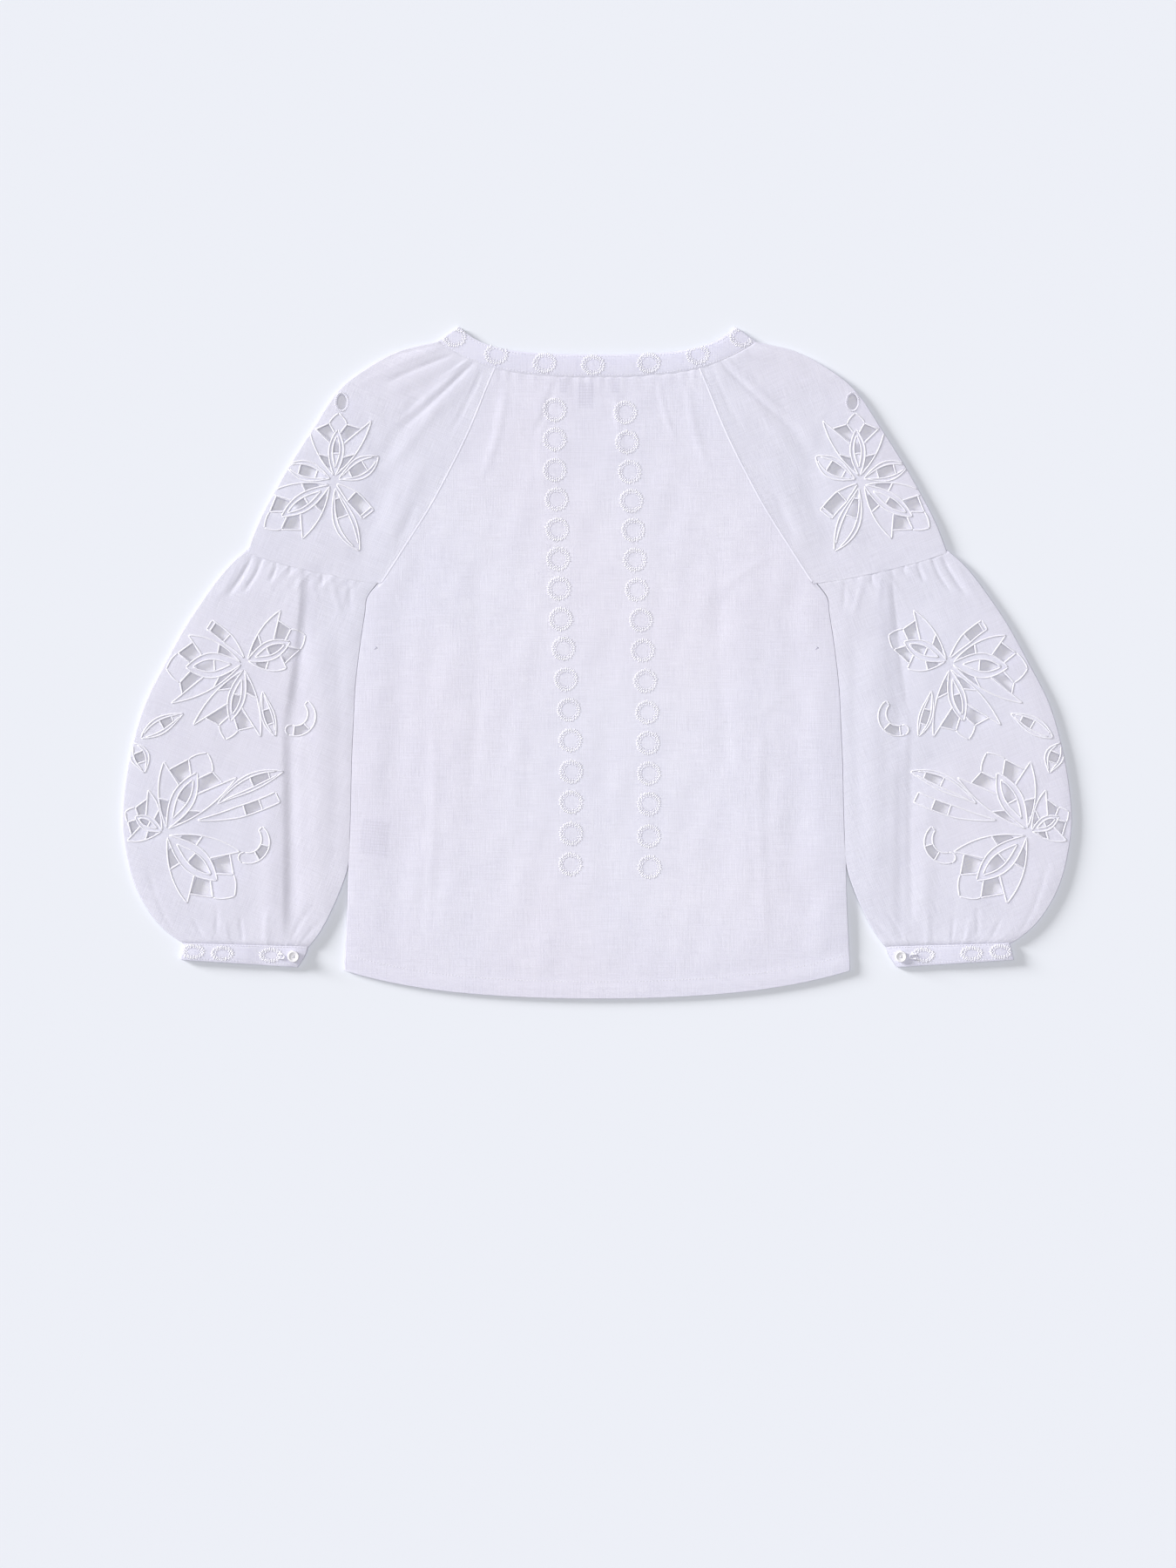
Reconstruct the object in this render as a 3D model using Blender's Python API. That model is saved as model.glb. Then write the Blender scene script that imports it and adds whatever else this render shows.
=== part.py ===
"""White linen blouse with cutwork balloon sleeves, laid flat with its back up.

Metres, +Z up, +Y toward the neck, and x = 0 down the middle of the back. The tables give x as the
distance outward from that middle line, so each row serves the left side (-X) and the right side.
Angles in the embroidery turn from +Y outward, in degrees.
"""

from collections import namedtuple
from math import cos, hypot, pi, radians, sin

import bmesh
import bpy

# Cloth and layers
WALL = 0.0012
BAND_WALL = 0.0016
LABEL_WALL = 0.0005
LAYER_GAP = 0.0003
SEAM_GAP = 0.0005
LOFT = 0.0020
EDGE_ROLL = 0.014
HIGHEST_LIFT = 0.0033
CUFF_LOFT_SHARE = 0.4
SIDE_LOFT_SHARE = 0.35
HEM_LOFT_SHARE = 0.45
UNDERARM_LOFT_SHARE = 0.10
COLLAR_END_LOFT_SHARE = 0.10
COLLAR_LOFT_SHARE = 0.80
COLLAR_END_FALL = 0.2

# Shares of a panel's width or length over which its folds and loft fade to its edges
BODY_FADE = 0.08
UPPER_FADE = 0.15
LOWER_FADE = 0.08
UNDERARM_FADE = 0.1
HEM_FADE = 0.05

# Neckline: one curve for the band and the panels sewn to it
NECK_EDGE_X = 0.1007
NECK_EDGE_Y = 0.2869
NECK_HANG = 0.0090
FRONT_NECK_Y = 0.2172
BACK_LEAN_POWER = 3.0
FRONT_LEAN_POWER = 1.2
BAND_END_X = 0.1568
BAND_END_Y = 0.3124
BAND_HEIGHT = 0.0222
BAND_NARROWING = 0.0069
BAND_LEAN = 0.0221

# Body hem
HEM_HANG = 0.0272

Point = namedtuple("Point", "x y")

# Seam between the body and the sleeve, from the neck to the underarm
RAGLAN = (
    Point(0.1007, 0.2869),
    Point(0.1101, 0.2656),
    Point(0.1194, 0.2427),
    Point(0.1305, 0.2172),
    Point(0.1466, 0.1849),
    Point(0.1645, 0.1517),
    Point(0.1849, 0.1194),
    Point(0.1993, 0.0973),
    Point(0.2121, 0.0786),
)

# Shoulder fold of the upper sleeve, from the collar to the gathered seam
SHOULDER = (
    Point(0.1551, 0.3115),
    Point(0.1934, 0.3030),
    Point(0.2257, 0.2860),
    Point(0.2529, 0.2639),
    Point(0.2775, 0.2274),
    Point(0.2996, 0.1925),
    Point(0.3175, 0.1611),
    Point(0.3311, 0.1347),
    Point(0.3413, 0.1084),
)

# Outer fold of the balloon, from the gathered seam to the cuff
BALLOON = (
    Point(0.3413, 0.1084),
    Point(0.3566, 0.0956),
    Point(0.3727, 0.0769),
    Point(0.3991, 0.0387),
    Point(0.4203, 0.0004),
    Point(0.4399, -0.0378),
    Point(0.4518, -0.0761),
    Point(0.4594, -0.1143),
    Point(0.4628, -0.1543),
    Point(0.4586, -0.1891),
    Point(0.4501, -0.2189),
    Point(0.4365, -0.2435),
    Point(0.4212, -0.2605),
    Point(0.4025, -0.2733),
)

# Underarm edge of the balloon, along the body's side and then free to the cuff
UNDERARM = (
    Point(0.2121, 0.0786),
    Point(0.2240, 0.0633),
    Point(0.2265, 0.0472),
    Point(0.2316, 0.0132),
    Point(0.2359, -0.0251),
    Point(0.2376, -0.0591),
    Point(0.2393, -0.0956),
    Point(0.2401, -0.1313),
    Point(0.2410, -0.1653),
    Point(0.2427, -0.1968),
    Point(0.2499, -0.2206),
    Point(0.2605, -0.2444),
    Point(0.2699, -0.2614),
    Point(0.2818, -0.2767),
)
SIDE_ROWS = 9
SIDE_END = (Point(0.2435, -0.2376), Point(0.2465, -0.3005))
SLEEVE_GAP = 0.0012

# Cuff edges, from the sleeve seam to the opening
CUFF_OUTER = (Point(0.4020, -0.2733), Point(0.4042, -0.2810), Point(0.4063, -0.2898))
CUFF_INNER = (Point(0.2818, -0.2767), Point(0.2843, -0.2852), Point(0.2920, -0.2971))

# How far the middle of the gathered seam hangs below its ends
GATHER_HANG = 0.0038

# Grid of the top layer
BODY_COLUMNS = 12
UNDER_COLUMNS = 4
CUFF_COLUMNS = 10
CUFF_ROWS = 2
UPPER_COLUMNS = 12
LOWER_COLUMNS = 24
BAND_COLUMNS = 28
ROWS_PER_SPAN = 2

# Gathers stand on one grid column each: where, how long and how high
Gather = namedtuple("Gather", "column length height")
SEAM_GATHERS = (
    Gather(2, 0.10, 0.0009),
    Gather(4, 0.16, 0.0011),
    Gather(6, 0.11, 0.0010),
    Gather(8, 0.19, 0.0013),
    Gather(10, 0.13, 0.0010),
    Gather(12, 0.22, 0.0014),
    Gather(14, 0.12, 0.0010),
    Gather(16, 0.17, 0.0012),
    Gather(18, 0.10, 0.0009),
    Gather(20, 0.15, 0.0011),
    Gather(22, 0.09, 0.0008),
)
CUFF_GATHERS = (
    Gather(3, 0.13, 0.0010),
    Gather(6, 0.10, 0.0009),
    Gather(9, 0.17, 0.0012),
    Gather(12, 0.12, 0.0010),
    Gather(16, 0.19, 0.0013),
    Gather(20, 0.14, 0.0010),
)

# Folds in plan: from one end to the other, with the half width and the height, negative for a trough
Fold = namedtuple("Fold", "from_x from_y to_x to_y half_width height")
BODY_FOLDS = (
    Fold(0.190, 0.090, 0.196, -0.290, 0.020, -0.0010),
    Fold(0.142, 0.150, 0.146, -0.310, 0.026, 0.0009),
    Fold(0.215, 0.040, 0.222, -0.290, 0.014, 0.0006),
)
UPPER_FOLDS = (
    Fold(0.152, 0.308, 0.205, 0.289, 0.010, 0.0009),
    Fold(0.133, 0.299, 0.205, 0.262, 0.011, 0.0010),
    Fold(0.112, 0.290, 0.170, 0.232, 0.011, 0.0010),
    Fold(0.196, 0.215, 0.232, 0.092, 0.020, -0.0009),
    Fold(0.168, 0.205, 0.206, 0.112, 0.014, 0.0008),
)
LOWER_FOLDS = (
    Fold(0.286, 0.055, 0.299, -0.100, 0.012, -0.0011),
    Fold(0.299, -0.085, 0.297, -0.272, 0.012, -0.0014),
    Fold(0.268, 0.040, 0.272, -0.240, 0.018, 0.0009),
    Fold(0.322, -0.120, 0.318, -0.262, 0.014, 0.0008),
)

# Cutwork flowers. A lotus is a pointed heart, a petal on each side and a hood over its tip.
# "more" is the petal toward larger angles, "less" the other; splay is measured from the heart.
Lotus = namedtuple("Lotus", "x y angle length width more_reach more_splay less_reach less_splay")
Leaf = namedtuple("Leaf", "x y angle length width bend open_from open_to")
Band = namedtuple("Band", "x y angle length width bend open_from open_to")
Scroll = namedtuple("Scroll", "x y radius start sweep width open_from open_to")
Oval = namedtuple("Oval", "x y width length")

UPPER_LOTUSES = (
    Lotus(0.2560, 0.1800, -4, 0.047, 0.0072, 0.060, 29, 0.066, 29),
    Lotus(0.2590, 0.1735, 123, 0.058, 0.0085, 0.060, 29, 0.062, 25),
)
UPPER_LEAVES = (
    Leaf(0.2550, 0.1700, -171, 0.066, 0.0105, 12, 0.16, 0.44),
    Leaf(0.2600, 0.1790, 70, 0.045, 0.0095, 4, 0.32, 0.70),
    Leaf(0.2520, 0.1785, -68, 0.045, 0.0100, 8, 0.28, 0.64),
)
UPPER_BANDS = (Band(0.2540, 0.1740, -126, 0.043, 0.0070, -8, 0.45, 0.92),)
EYELET = Oval(0.2490, 0.2540, 0.0095, 0.0150)

LOWER_LOTUSES = (
    Lotus(0.3450, -0.0010, 94, 0.056, 0.0120, 0.080, 25, 0.060, 31),
    Lotus(0.3435, -0.0055, 165, 0.054, 0.0080, 0.069, 28, 0.075, 27),
    Lotus(0.3420, 0.0010, -66, 0.047, 0.0090, 0.060, 32, 0.040, 34),
    Lotus(0.4200, -0.1640, -28, 0.064, 0.0110, 0.067, 30, 0.086, 25),
    Lotus(0.4200, -0.1680, -132, 0.067, 0.0125, 0.074, 29, 0.070, 31),
    Lotus(0.4230, -0.1650, 62, 0.031, 0.0066, 0.036, 42, 0.043, 42),
)
LOWER_LEAVES = (
    Leaf(0.4030, -0.0500, 114, 0.048, 0.0080, 6, 0.25, 0.50),
    Leaf(0.4410, -0.1080, 12, 0.031, 0.0090, 8, 0.35, 0.68),
    Leaf(0.3700, -0.1380, -50, 0.072, 0.0080, -14, 0.55, 0.80),
    Leaf(0.3260, -0.0280, -172, 0.046, 0.0065, 8, 0.40, 0.72),
)
LOWER_BANDS = (
    Band(0.3440, 0.0040, 34, 0.047, 0.0052, 12, 0.55, 0.92),
    Band(0.3900, -0.1540, -84, 0.082, 0.0055, 10, 0.58, 0.78),
)
LOWER_SCROLLS = (
    Scroll(0.2935, -0.0514, 0.0155, -40, -160, 0.0050, 0.60, 0.92),
    Scroll(0.3400, -0.1740, 0.0170, -45, -150, 0.0052, 0.40, 0.70),
)
CORD_HALF_WIDTH = 0.0009
PETAL_BULGE = 0.004
CUTTER_REACH = 0.02

# Button and thread loop on each cuff
BUTTON_X = 0.2960
BUTTON_Y = -0.2869
BUTTON_RADIUS = 0.0057
BUTTON_HEIGHT = 0.0022
BUTTON_HOLE_RADIUS = 0.0006
BUTTON_HOLE_OFFSET = 0.0013
LOOP_X = 0.3068
LOOP_RADIUS = 0.0021
LOOP_LENGTH = 0.0040
THREAD_RADIUS = 0.0006

# Labels between the layers
NECK_LABEL = (-0.0070, 0.2680, 0.058, 0.020)
SIZE_TAG = (-0.0110, 0.2520, 0.0145, 0.011)
CARE_LABEL = (-0.2200, -0.1710, 0.030, 0.036)
CARE_LABEL_SLANT = 0.12

LINEN = (0.775, 0.76, 0.87, 1.0)
BAND_LINEN = (0.78, 0.765, 0.88, 1.0)
BUTTON_WHITE = (0.84, 0.84, 0.87, 1.0)
THREAD_WHITE = (0.86, 0.86, 0.90, 1.0)
LABEL_WHITE = (0.80, 0.80, 0.82, 1.0)


def clear_scene():
    for obj in list(bpy.data.objects):
        bpy.data.objects.remove(obj, do_unlink=True)


def material(name, color, roughness):
    made = bpy.data.materials.new(name)
    made.use_nodes = True
    shader = made.node_tree.nodes["Principled BSDF"]
    shader.inputs["Base Color"].default_value = color
    shader.inputs["Roughness"].default_value = roughness
    shader.inputs["Metallic"].default_value = 0.0
    return made


def add_object(name, bm, finish):
    mesh = bpy.data.meshes.new(name)
    bm.to_mesh(mesh)
    bm.free()
    mesh.materials.append(finish)
    obj = bpy.data.objects.new(name, mesh)
    bpy.context.scene.collection.objects.link(obj)
    return obj


def mix(first, second, share):
    return tuple(a + (b - a) * share for a, b in zip(first, second))


def along(points, share):
    """The point at this share of the way, on a smooth curve through the points."""
    spans = len(points) - 1
    at = min(max(share, 0.0), 1.0) * spans
    first = min(int(at), spans - 1)
    t = at - first
    before = points[max(first - 1, 0)]
    start, end = points[first], points[first + 1]
    after = points[min(first + 2, spans)]
    return Point(*(
        0.5 * (2 * b + (c - a) * t + (2 * a - 5 * b + 4 * c - d) * t**2 + (3 * b - a - 3 * c + d) * t**3)
        for a, b, c, d in zip(before, start, end, after)
    ))


def hang(s):
    """How far a row hangs at s, from 1 in its middle to 0 at its ends, where s is 1."""
    return 1.0 - 0.6 * s**2 - 0.4 * s**4


def back_neck(x):
    return NECK_EDGE_Y - NECK_HANG * hang(x / NECK_EDGE_X)


def front_neck(x):
    return FRONT_NECK_Y + (BAND_END_Y - FRONT_NECK_Y) * (x / BAND_END_X) ** 2


def below_front_band(x):
    """The front panels' neck edge, a little lower because the curve is steep there."""
    return front_neck(x) - SEAM_GAP


def ease(share):
    """0 to 1 with a round shoulder."""
    share = min(max(share, 0.0), 1.0)
    return 1.0 - (1.0 - share) ** 2


def stroke(fold, x, y):
    """The fold's height at a plan point: a round ridge that fades out at both ends."""
    dx, dy = fold.to_x - fold.from_x, fold.to_y - fold.from_y
    length = hypot(dx, dy)
    t = ((x - fold.from_x) * dx + (y - fold.from_y) * dy) / length**2
    away = abs((x - fold.from_x) * dy - (y - fold.from_y) * dx) / length
    if not 0.0 < t < 1.0 or away >= fold.half_width:
        return 0.0
    return fold.height * cos(pi * away / (2 * fold.half_width)) ** 2 * ease(4 * t) * ease(4 * (1 - t))


class Panel:
    """A cut piece in plan, between two side edges that run from its neck end to its far end."""

    def __init__(
        self, outer, inner, hangs=(0.0, 0.0), neck=None, outer_gap=0.0, inner_gap=0.0, drops=(0.0, 0.0)
    ):
        self.outer = outer
        self.inner = inner
        self.hangs = hangs
        self.neck = neck
        self.drops = drops
        self.outer_gap = outer_gap
        self.inner_gap = inner_gap

    def point(self, u, v):
        """The plan point at u, 0 at the outer edge and 1 at the inner, and v, 0 at the neck end."""
        left, right = along(self.outer, v), along(self.inner, v)
        x = left.x - self.outer_gap + (right.x + self.inner_gap - left.x + self.outer_gap) * u
        y = left.y + (right.y - left.y) * u - self.drops[0] * (1.0 - v) - self.drops[1] * v
        y -= (self.hangs[0] * (1.0 - v) + self.hangs[1] * v) * hang(2 * u - 1)
        if self.neck:
            top = mix(self.outer[0], self.inner[0], u)
            seam = self.neck(abs(top[0])) - SEAM_GAP
            y += (seam - top[1] + self.hangs[0] * hang(2 * u - 1)) * (1.0 - v) ** 3
        return Point(x, y)

    def width(self, v):
        left, right = along(self.outer, v), along(self.inner, v)
        return hypot(left.x - right.x, left.y - right.y)

    def base_lift(self, u, v, outer_share, inner_share):
        """The loft at (u, v), falling to these shares of it at the two side edges."""
        width = self.width(v)
        outer_fall = outer_share + (1 - outer_share) * ease(u * width / EDGE_ROLL)
        inner_fall = inner_share + (1 - inner_share) * ease((1 - u) * width / EDGE_ROLL)
        return LOFT * outer_fall * inner_fall


def cloth(name, plan, side, columns, rows, finish, height, wall=WALL):
    """A wall over the plan(u, v), whose underside is at height(u, v, point)."""
    bm = bmesh.new()
    bmesh.ops.create_grid(bm, x_segments=columns, y_segments=rows, size=0.5)
    for vert in bm.verts:
        u, v = vert.co.x + 0.5, 0.5 - vert.co.y
        point = plan(u, v)
        vert.co = (side * point.x, point.y, height(u, v, point))
    grown = bmesh.ops.extrude_face_region(bm, geom=bm.faces[:])
    top = [item for item in grown["geom"] if isinstance(item, bmesh.types.BMVert)]
    bmesh.ops.translate(bm, verts=top, vec=(0.0, 0.0, wall))
    bmesh.ops.triangulate(bm, faces=bm.faces[:])
    bmesh.ops.recalc_face_normals(bm, faces=bm.faces[:])
    return add_object(name, bm, finish)


def cut(obj, cells, side, finish):
    """Cuts the cells, given as outlines in plan, straight through the wall."""
    bm = bmesh.new()
    for cell in cells:
        ring = [bm.verts.new((side * x, y, -CUTTER_REACH)) for x, y in cell]
        bm.faces.new(ring)
    grown = bmesh.ops.extrude_face_region(bm, geom=bm.faces[:])
    top = [item for item in grown["geom"] if isinstance(item, bmesh.types.BMVert)]
    bmesh.ops.translate(bm, verts=top, vec=(0.0, 0.0, 2 * CUTTER_REACH))
    bmesh.ops.recalc_face_normals(bm, faces=bm.faces[:])
    cutter = add_object(obj.name + "_cutter", bm, finish)
    cutter.hide_render = True
    cutter.display_type = "WIRE"
    opened = obj.modifiers.new("Cutwork", "BOOLEAN")
    opened.operation = "DIFFERENCE"
    opened.solver = "EXACT"
    opened.object = cutter


def place(row, along_axis, across):
    """The plan point of a motif's own coordinates: along its axis, and across toward larger angles."""
    turn = radians(row.angle)
    return (
        row.x + along_axis * sin(turn) + across * cos(turn),
        row.y + along_axis * cos(turn) - across * sin(turn),
    )


def swell(t):
    """A pointed oval's half width at t along it, from 0 at both ends to 1."""
    return max(0.0, sin(pi * t**1.15)) ** 0.9 if 0.0 < t < 1.0 else 0.0


def bezier(start, pull, end, t):
    return mix(mix(start, pull, t), mix(pull, end, t), t)


def run(curve, start, end, steps):
    return [curve(start + (end - start) * i / steps) for i in range(steps + 1)]


def inset(outline, distance):
    """The outline moved in by this distance, so that the cord around a cell keeps its cloth."""
    count = len(outline)
    turns = sum(
        outline[i - 1][0] * outline[i][1] - outline[i][0] * outline[i - 1][1] for i in range(count)
    )
    sign = 1.0 if turns > 0 else -1.0
    moved = []
    for i in range(count):
        before, here, after = outline[i - 1], outline[i], outline[(i + 1) % count]
        first = hypot(here[0] - before[0], here[1] - before[1])
        second = hypot(after[0] - here[0], after[1] - here[1])
        ax, ay = -sign * (here[1] - before[1]) / first, sign * (here[0] - before[0]) / first
        bx, by = -sign * (after[1] - here[1]) / second, sign * (after[0] - here[0]) / second
        spread = max(1.0 + ax * bx + ay * by, 0.4)
        moved.append((here[0] + distance * (ax + bx) / spread, here[1] + distance * (ay + by) / spread))
    return moved


def lotus_cells(row):
    """The open cells of one lotus: half of its heart, the root of each side petal and two hood cells.

    The numbers are shares of the heart's length and half width, and of the way along each edge.
    """
    length, width = row.length, row.width

    def heart(t, hand):
        return (length * t, hand * width * swell(t))

    def inner_leaf(t, hand):
        return (length * (0.2 + 0.68 * t), hand * 0.5 * width * swell(t))

    heart_half = run(lambda t: inner_leaf(t, 1), 0.45, 0.90, 2)
    cells = [heart_half + run(lambda t: inner_leaf(t, -1), 0.90, 0.45, 2)]
    sides = ((1, row.more_reach, row.more_splay), (-1, row.less_reach, row.less_splay))
    for hand, reach, splay in sides:
        along_tip, out_tip = reach * cos(radians(splay)), reach * sin(radians(splay))
        tip = (along_tip, hand * out_tip)
        pull = (0.45 * along_tip, hand * (0.50 * out_tip + 0.80 * width + PETAL_BULGE))
        root = (0.05 * length, hand * 0.15 * width)
        knee = heart(0.70, hand)
        gate = mix(knee, tip, 0.66)
        corner = (1.12 * length, hand * 1.20 * width)
        petal_root = run(lambda t: heart(t, hand), 0.17, 0.42, 2)
        cells.append(petal_root + run(lambda t: bezier(root, pull, tip, t), 0.42, 0.16, 2))
        cells.append(run(lambda t: heart(t, hand), 0.72, 0.91, 2) + [corner, gate])
    return [inset([place(row, *point) for point in cell], CORD_HALF_WIDTH) for cell in cells]


def bent_place(row, t, across):
    """The plan point at share t along a leaf or band whose axis turns by its bend."""
    turn = radians(row.angle + row.bend * t)
    heading = radians(row.angle + 2 * row.bend * t)
    return (
        row.x + row.length * t * sin(turn) + across * cos(heading),
        row.y + row.length * t * cos(turn) - across * sin(heading),
    )


def leaf_cell(row):
    def edge(t, hand):
        return bent_place(row, t, hand * 0.62 * row.width * swell(t))

    cell = run(lambda t: edge(t, 1), row.open_from, row.open_to, 2)
    cell += run(lambda t: edge(t, -1), row.open_to, row.open_from, 2)
    return inset(cell, CORD_HALF_WIDTH)


def band_cell(row):
    def edge(t, hand):
        return bent_place(row, t, hand * row.width * min(1.0, 2 * t) ** 0.8)

    cell = run(lambda t: edge(t, 1), row.open_from, row.open_to, 1)
    cell += run(lambda t: edge(t, -1), row.open_to, row.open_from, 1)
    return inset(cell, CORD_HALF_WIDTH)


def scroll_cell(row):
    def edge(t, hand):
        turn = radians(row.start + row.sweep * t)
        radius = row.radius + hand * row.width * (1.0 - 0.5 * (1.0 - t) ** 2)
        return (row.x + radius * sin(turn), row.y + radius * cos(turn))

    cell = run(lambda t: edge(t, 1), row.open_from, row.open_to, 2)
    cell += run(lambda t: edge(t, -1), row.open_to, row.open_from, 2)
    return inset(cell, CORD_HALF_WIDTH)


def oval_cell(row, sides=10):
    turns = [2 * pi * i / sides for i in range(sides)]
    return [(row.x + row.width / 2 * sin(turn), row.y + row.length / 2 * cos(turn)) for turn in turns]


def upper_cells():
    cells = [cell for row in UPPER_LOTUSES for cell in lotus_cells(row)]
    cells += [leaf_cell(row) for row in UPPER_LEAVES]
    cells += [band_cell(row) for row in UPPER_BANDS]
    return cells + [oval_cell(EYELET)]


def lower_cells():
    cells = [cell for row in LOWER_LOTUSES for cell in lotus_cells(row)]
    cells += [leaf_cell(row) for row in LOWER_LEAVES]
    cells += [band_cell(row) for row in LOWER_BANDS]
    return cells + [scroll_cell(row) for row in LOWER_SCROLLS]


def mirrored(points):
    return tuple(Point(-point.x, point.y) for point in points)


def body_edge(first_row):
    return RAGLAN[first_row:] + UNDERARM[1 : SIDE_ROWS + 1] + SIDE_END


def flat(u, v, point):
    """The underside of what rests on the surface."""
    return 0.0


def inside(u, fade):
    """0 at both side edges and 1 between them."""
    return ease(u / fade) * ease((1.0 - u) / fade)


def settle(lift):
    """The height of a top wall's underside for this lift, clear of the layer below."""
    return WALL + LAYER_GAP + min(max(lift, 0.0), HIGHEST_LIFT)


def back_panel(linen):
    edge = body_edge(0)
    panel = Panel(edge, mirrored(edge), (NECK_HANG, HEM_HANG), back_neck, SEAM_GAP / 2, SEAM_GAP / 2)
    raglan_end = (len(RAGLAN) - 1) / (len(edge) - 1)

    def height(u, v, point):
        at_side = 1.0 - (1.0 - SIDE_LOFT_SHARE) * ease((v - raglan_end) / UNDERARM_FADE)
        at_hem = HEM_LOFT_SHARE + (1.0 - HEM_LOFT_SHARE) * ease((1.0 - v) / HEM_FADE)
        folds = sum(stroke(fold, abs(point.x), point.y) for fold in BODY_FOLDS)
        return settle(at_hem * panel.base_lift(u, v, at_side, at_side) + inside(u, BODY_FADE) * folds)

    cloth("back_panel", panel.point, 1, BODY_COLUMNS, ROWS_PER_SPAN * (len(edge) - 1), linen, height)


def front_panel(linen):
    edge = body_edge(1)
    panel = Panel(edge, mirrored(edge), (NECK_HANG, HEM_HANG), below_front_band, SEAM_GAP, SEAM_GAP)
    cloth("front_panel", panel.point, 1, BODY_COLUMNS, len(edge) - 1, linen, flat)


def upper_sleeve(side, hand, linen):
    rows = len(SHOULDER) - 1
    panel = Panel(SHOULDER, RAGLAN, (0.0, GATHER_HANG), back_neck, 0.0, SEAM_GAP / 2)

    def height(u, v, point):
        folds = sum(stroke(fold, point.x, point.y) for fold in UPPER_FOLDS)
        return settle(panel.base_lift(u, v, 0.0, 1.0) + inside(u, UPPER_FADE) * folds)

    name = "upper_sleeve_" + hand
    top = cloth(name + "_back", panel.point, side, UPPER_COLUMNS, ROWS_PER_SPAN * rows, linen, height)
    cut(top, upper_cells(), side, linen)
    from_front_neck = 1 / rows
    front_raglan = tuple(run(lambda t: along(RAGLAN, t), from_front_neck, 1.0, rows))
    under = Panel(SHOULDER, front_raglan, (0.0, GATHER_HANG), below_front_band, SEAM_GAP, SEAM_GAP)
    cloth(name + "_front", under.point, side, UNDER_COLUMNS, rows, linen, flat)


def gather_lift(u, v):
    """The gathers of the seam, which fade down the sleeve, and those of the cuff, which fade up it."""
    column = u * LOWER_COLUMNS
    lift = 0.0
    for gathers, from_seam in ((SEAM_GATHERS, v), (CUFF_GATHERS, 1.0 - v)):
        for gather in gathers:
            across = max(0.0, 1.0 - abs(column - gather.column))
            lift += gather.height * across * max(0.0, 1.0 - from_seam / gather.length)
    return lift


def lower_sleeve(side, hand, linen):
    rows = len(BALLOON) - 1
    panel = Panel(
        BALLOON, UNDERARM, hangs=(GATHER_HANG, 0.0), inner_gap=SLEEVE_GAP, drops=(SEAM_GAP, 0.0)
    )

    def height(u, v, point):
        at_body = 1.0 - (1.0 - UNDERARM_LOFT_SHARE) * ease(v / UNDERARM_FADE)
        folds = sum(stroke(fold, point.x, point.y) for fold in LOWER_FOLDS) + gather_lift(u, v)
        return settle(panel.base_lift(u, v, 0.0, at_body) + inside(u, LOWER_FADE) * folds)

    name = "lower_sleeve_" + hand
    top = cloth(name + "_back", panel.point, side, LOWER_COLUMNS, ROWS_PER_SPAN * rows, linen, height)
    cut(top, lower_cells(), side, linen)
    cloth(name + "_front", panel.point, side, UNDER_COLUMNS, rows, linen, flat)


def cuff(side, hand, linen):
    """Both layers of a cuff. Returns the height of its top, where the button stands."""
    panel = Panel(CUFF_OUTER, CUFF_INNER, drops=(SEAM_GAP, SEAM_GAP))

    def height(u, v, point):
        lift = panel.base_lift(u, v, UNDERARM_LOFT_SHARE, UNDERARM_LOFT_SHARE)
        return BAND_WALL + LAYER_GAP + CUFF_LOFT_SHARE * lift

    cloth(f"cuff_{hand}_back", panel.point, side, CUFF_COLUMNS, CUFF_ROWS, linen, height, BAND_WALL)
    cloth(f"cuff_{hand}_front", panel.point, side, UNDER_COLUMNS, CUFF_ROWS, linen, flat, BAND_WALL)
    return BAND_WALL + LAYER_GAP + CUFF_LOFT_SHARE * LOFT + BAND_WALL


def collar_layer(name, neck, lean_power, linen, height):
    """A layer of the stand band, from its seam on the neck curve to its free edge."""

    def point(u, v):
        x = BAND_END_X * (1.0 - 2.0 * u)
        share = abs(x) / BAND_END_X
        lean = BAND_LEAN * share**lean_power * (1.0 if x > 0 else -1.0)
        rise = BAND_HEIGHT - BAND_NARROWING * share**2
        return Point(x - lean * (1.0 - v), neck(abs(x)) + rise * (1.0 - v))

    cloth(name, point, 1, BAND_COLUMNS, 2, linen, height, BAND_WALL)


def collar(linen):
    def top_height(u, v, point):
        rise = (COLLAR_LOFT_SHARE - COLLAR_END_LOFT_SHARE) * inside(u, COLLAR_END_FALL)
        return BAND_WALL + LAYER_GAP + LOFT * (COLLAR_END_LOFT_SHARE + rise)

    collar_layer("collar_back", back_neck, BACK_LEAN_POWER, linen, top_height)
    collar_layer("collar_front", front_neck, FRONT_LEAN_POWER, linen, flat)


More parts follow.
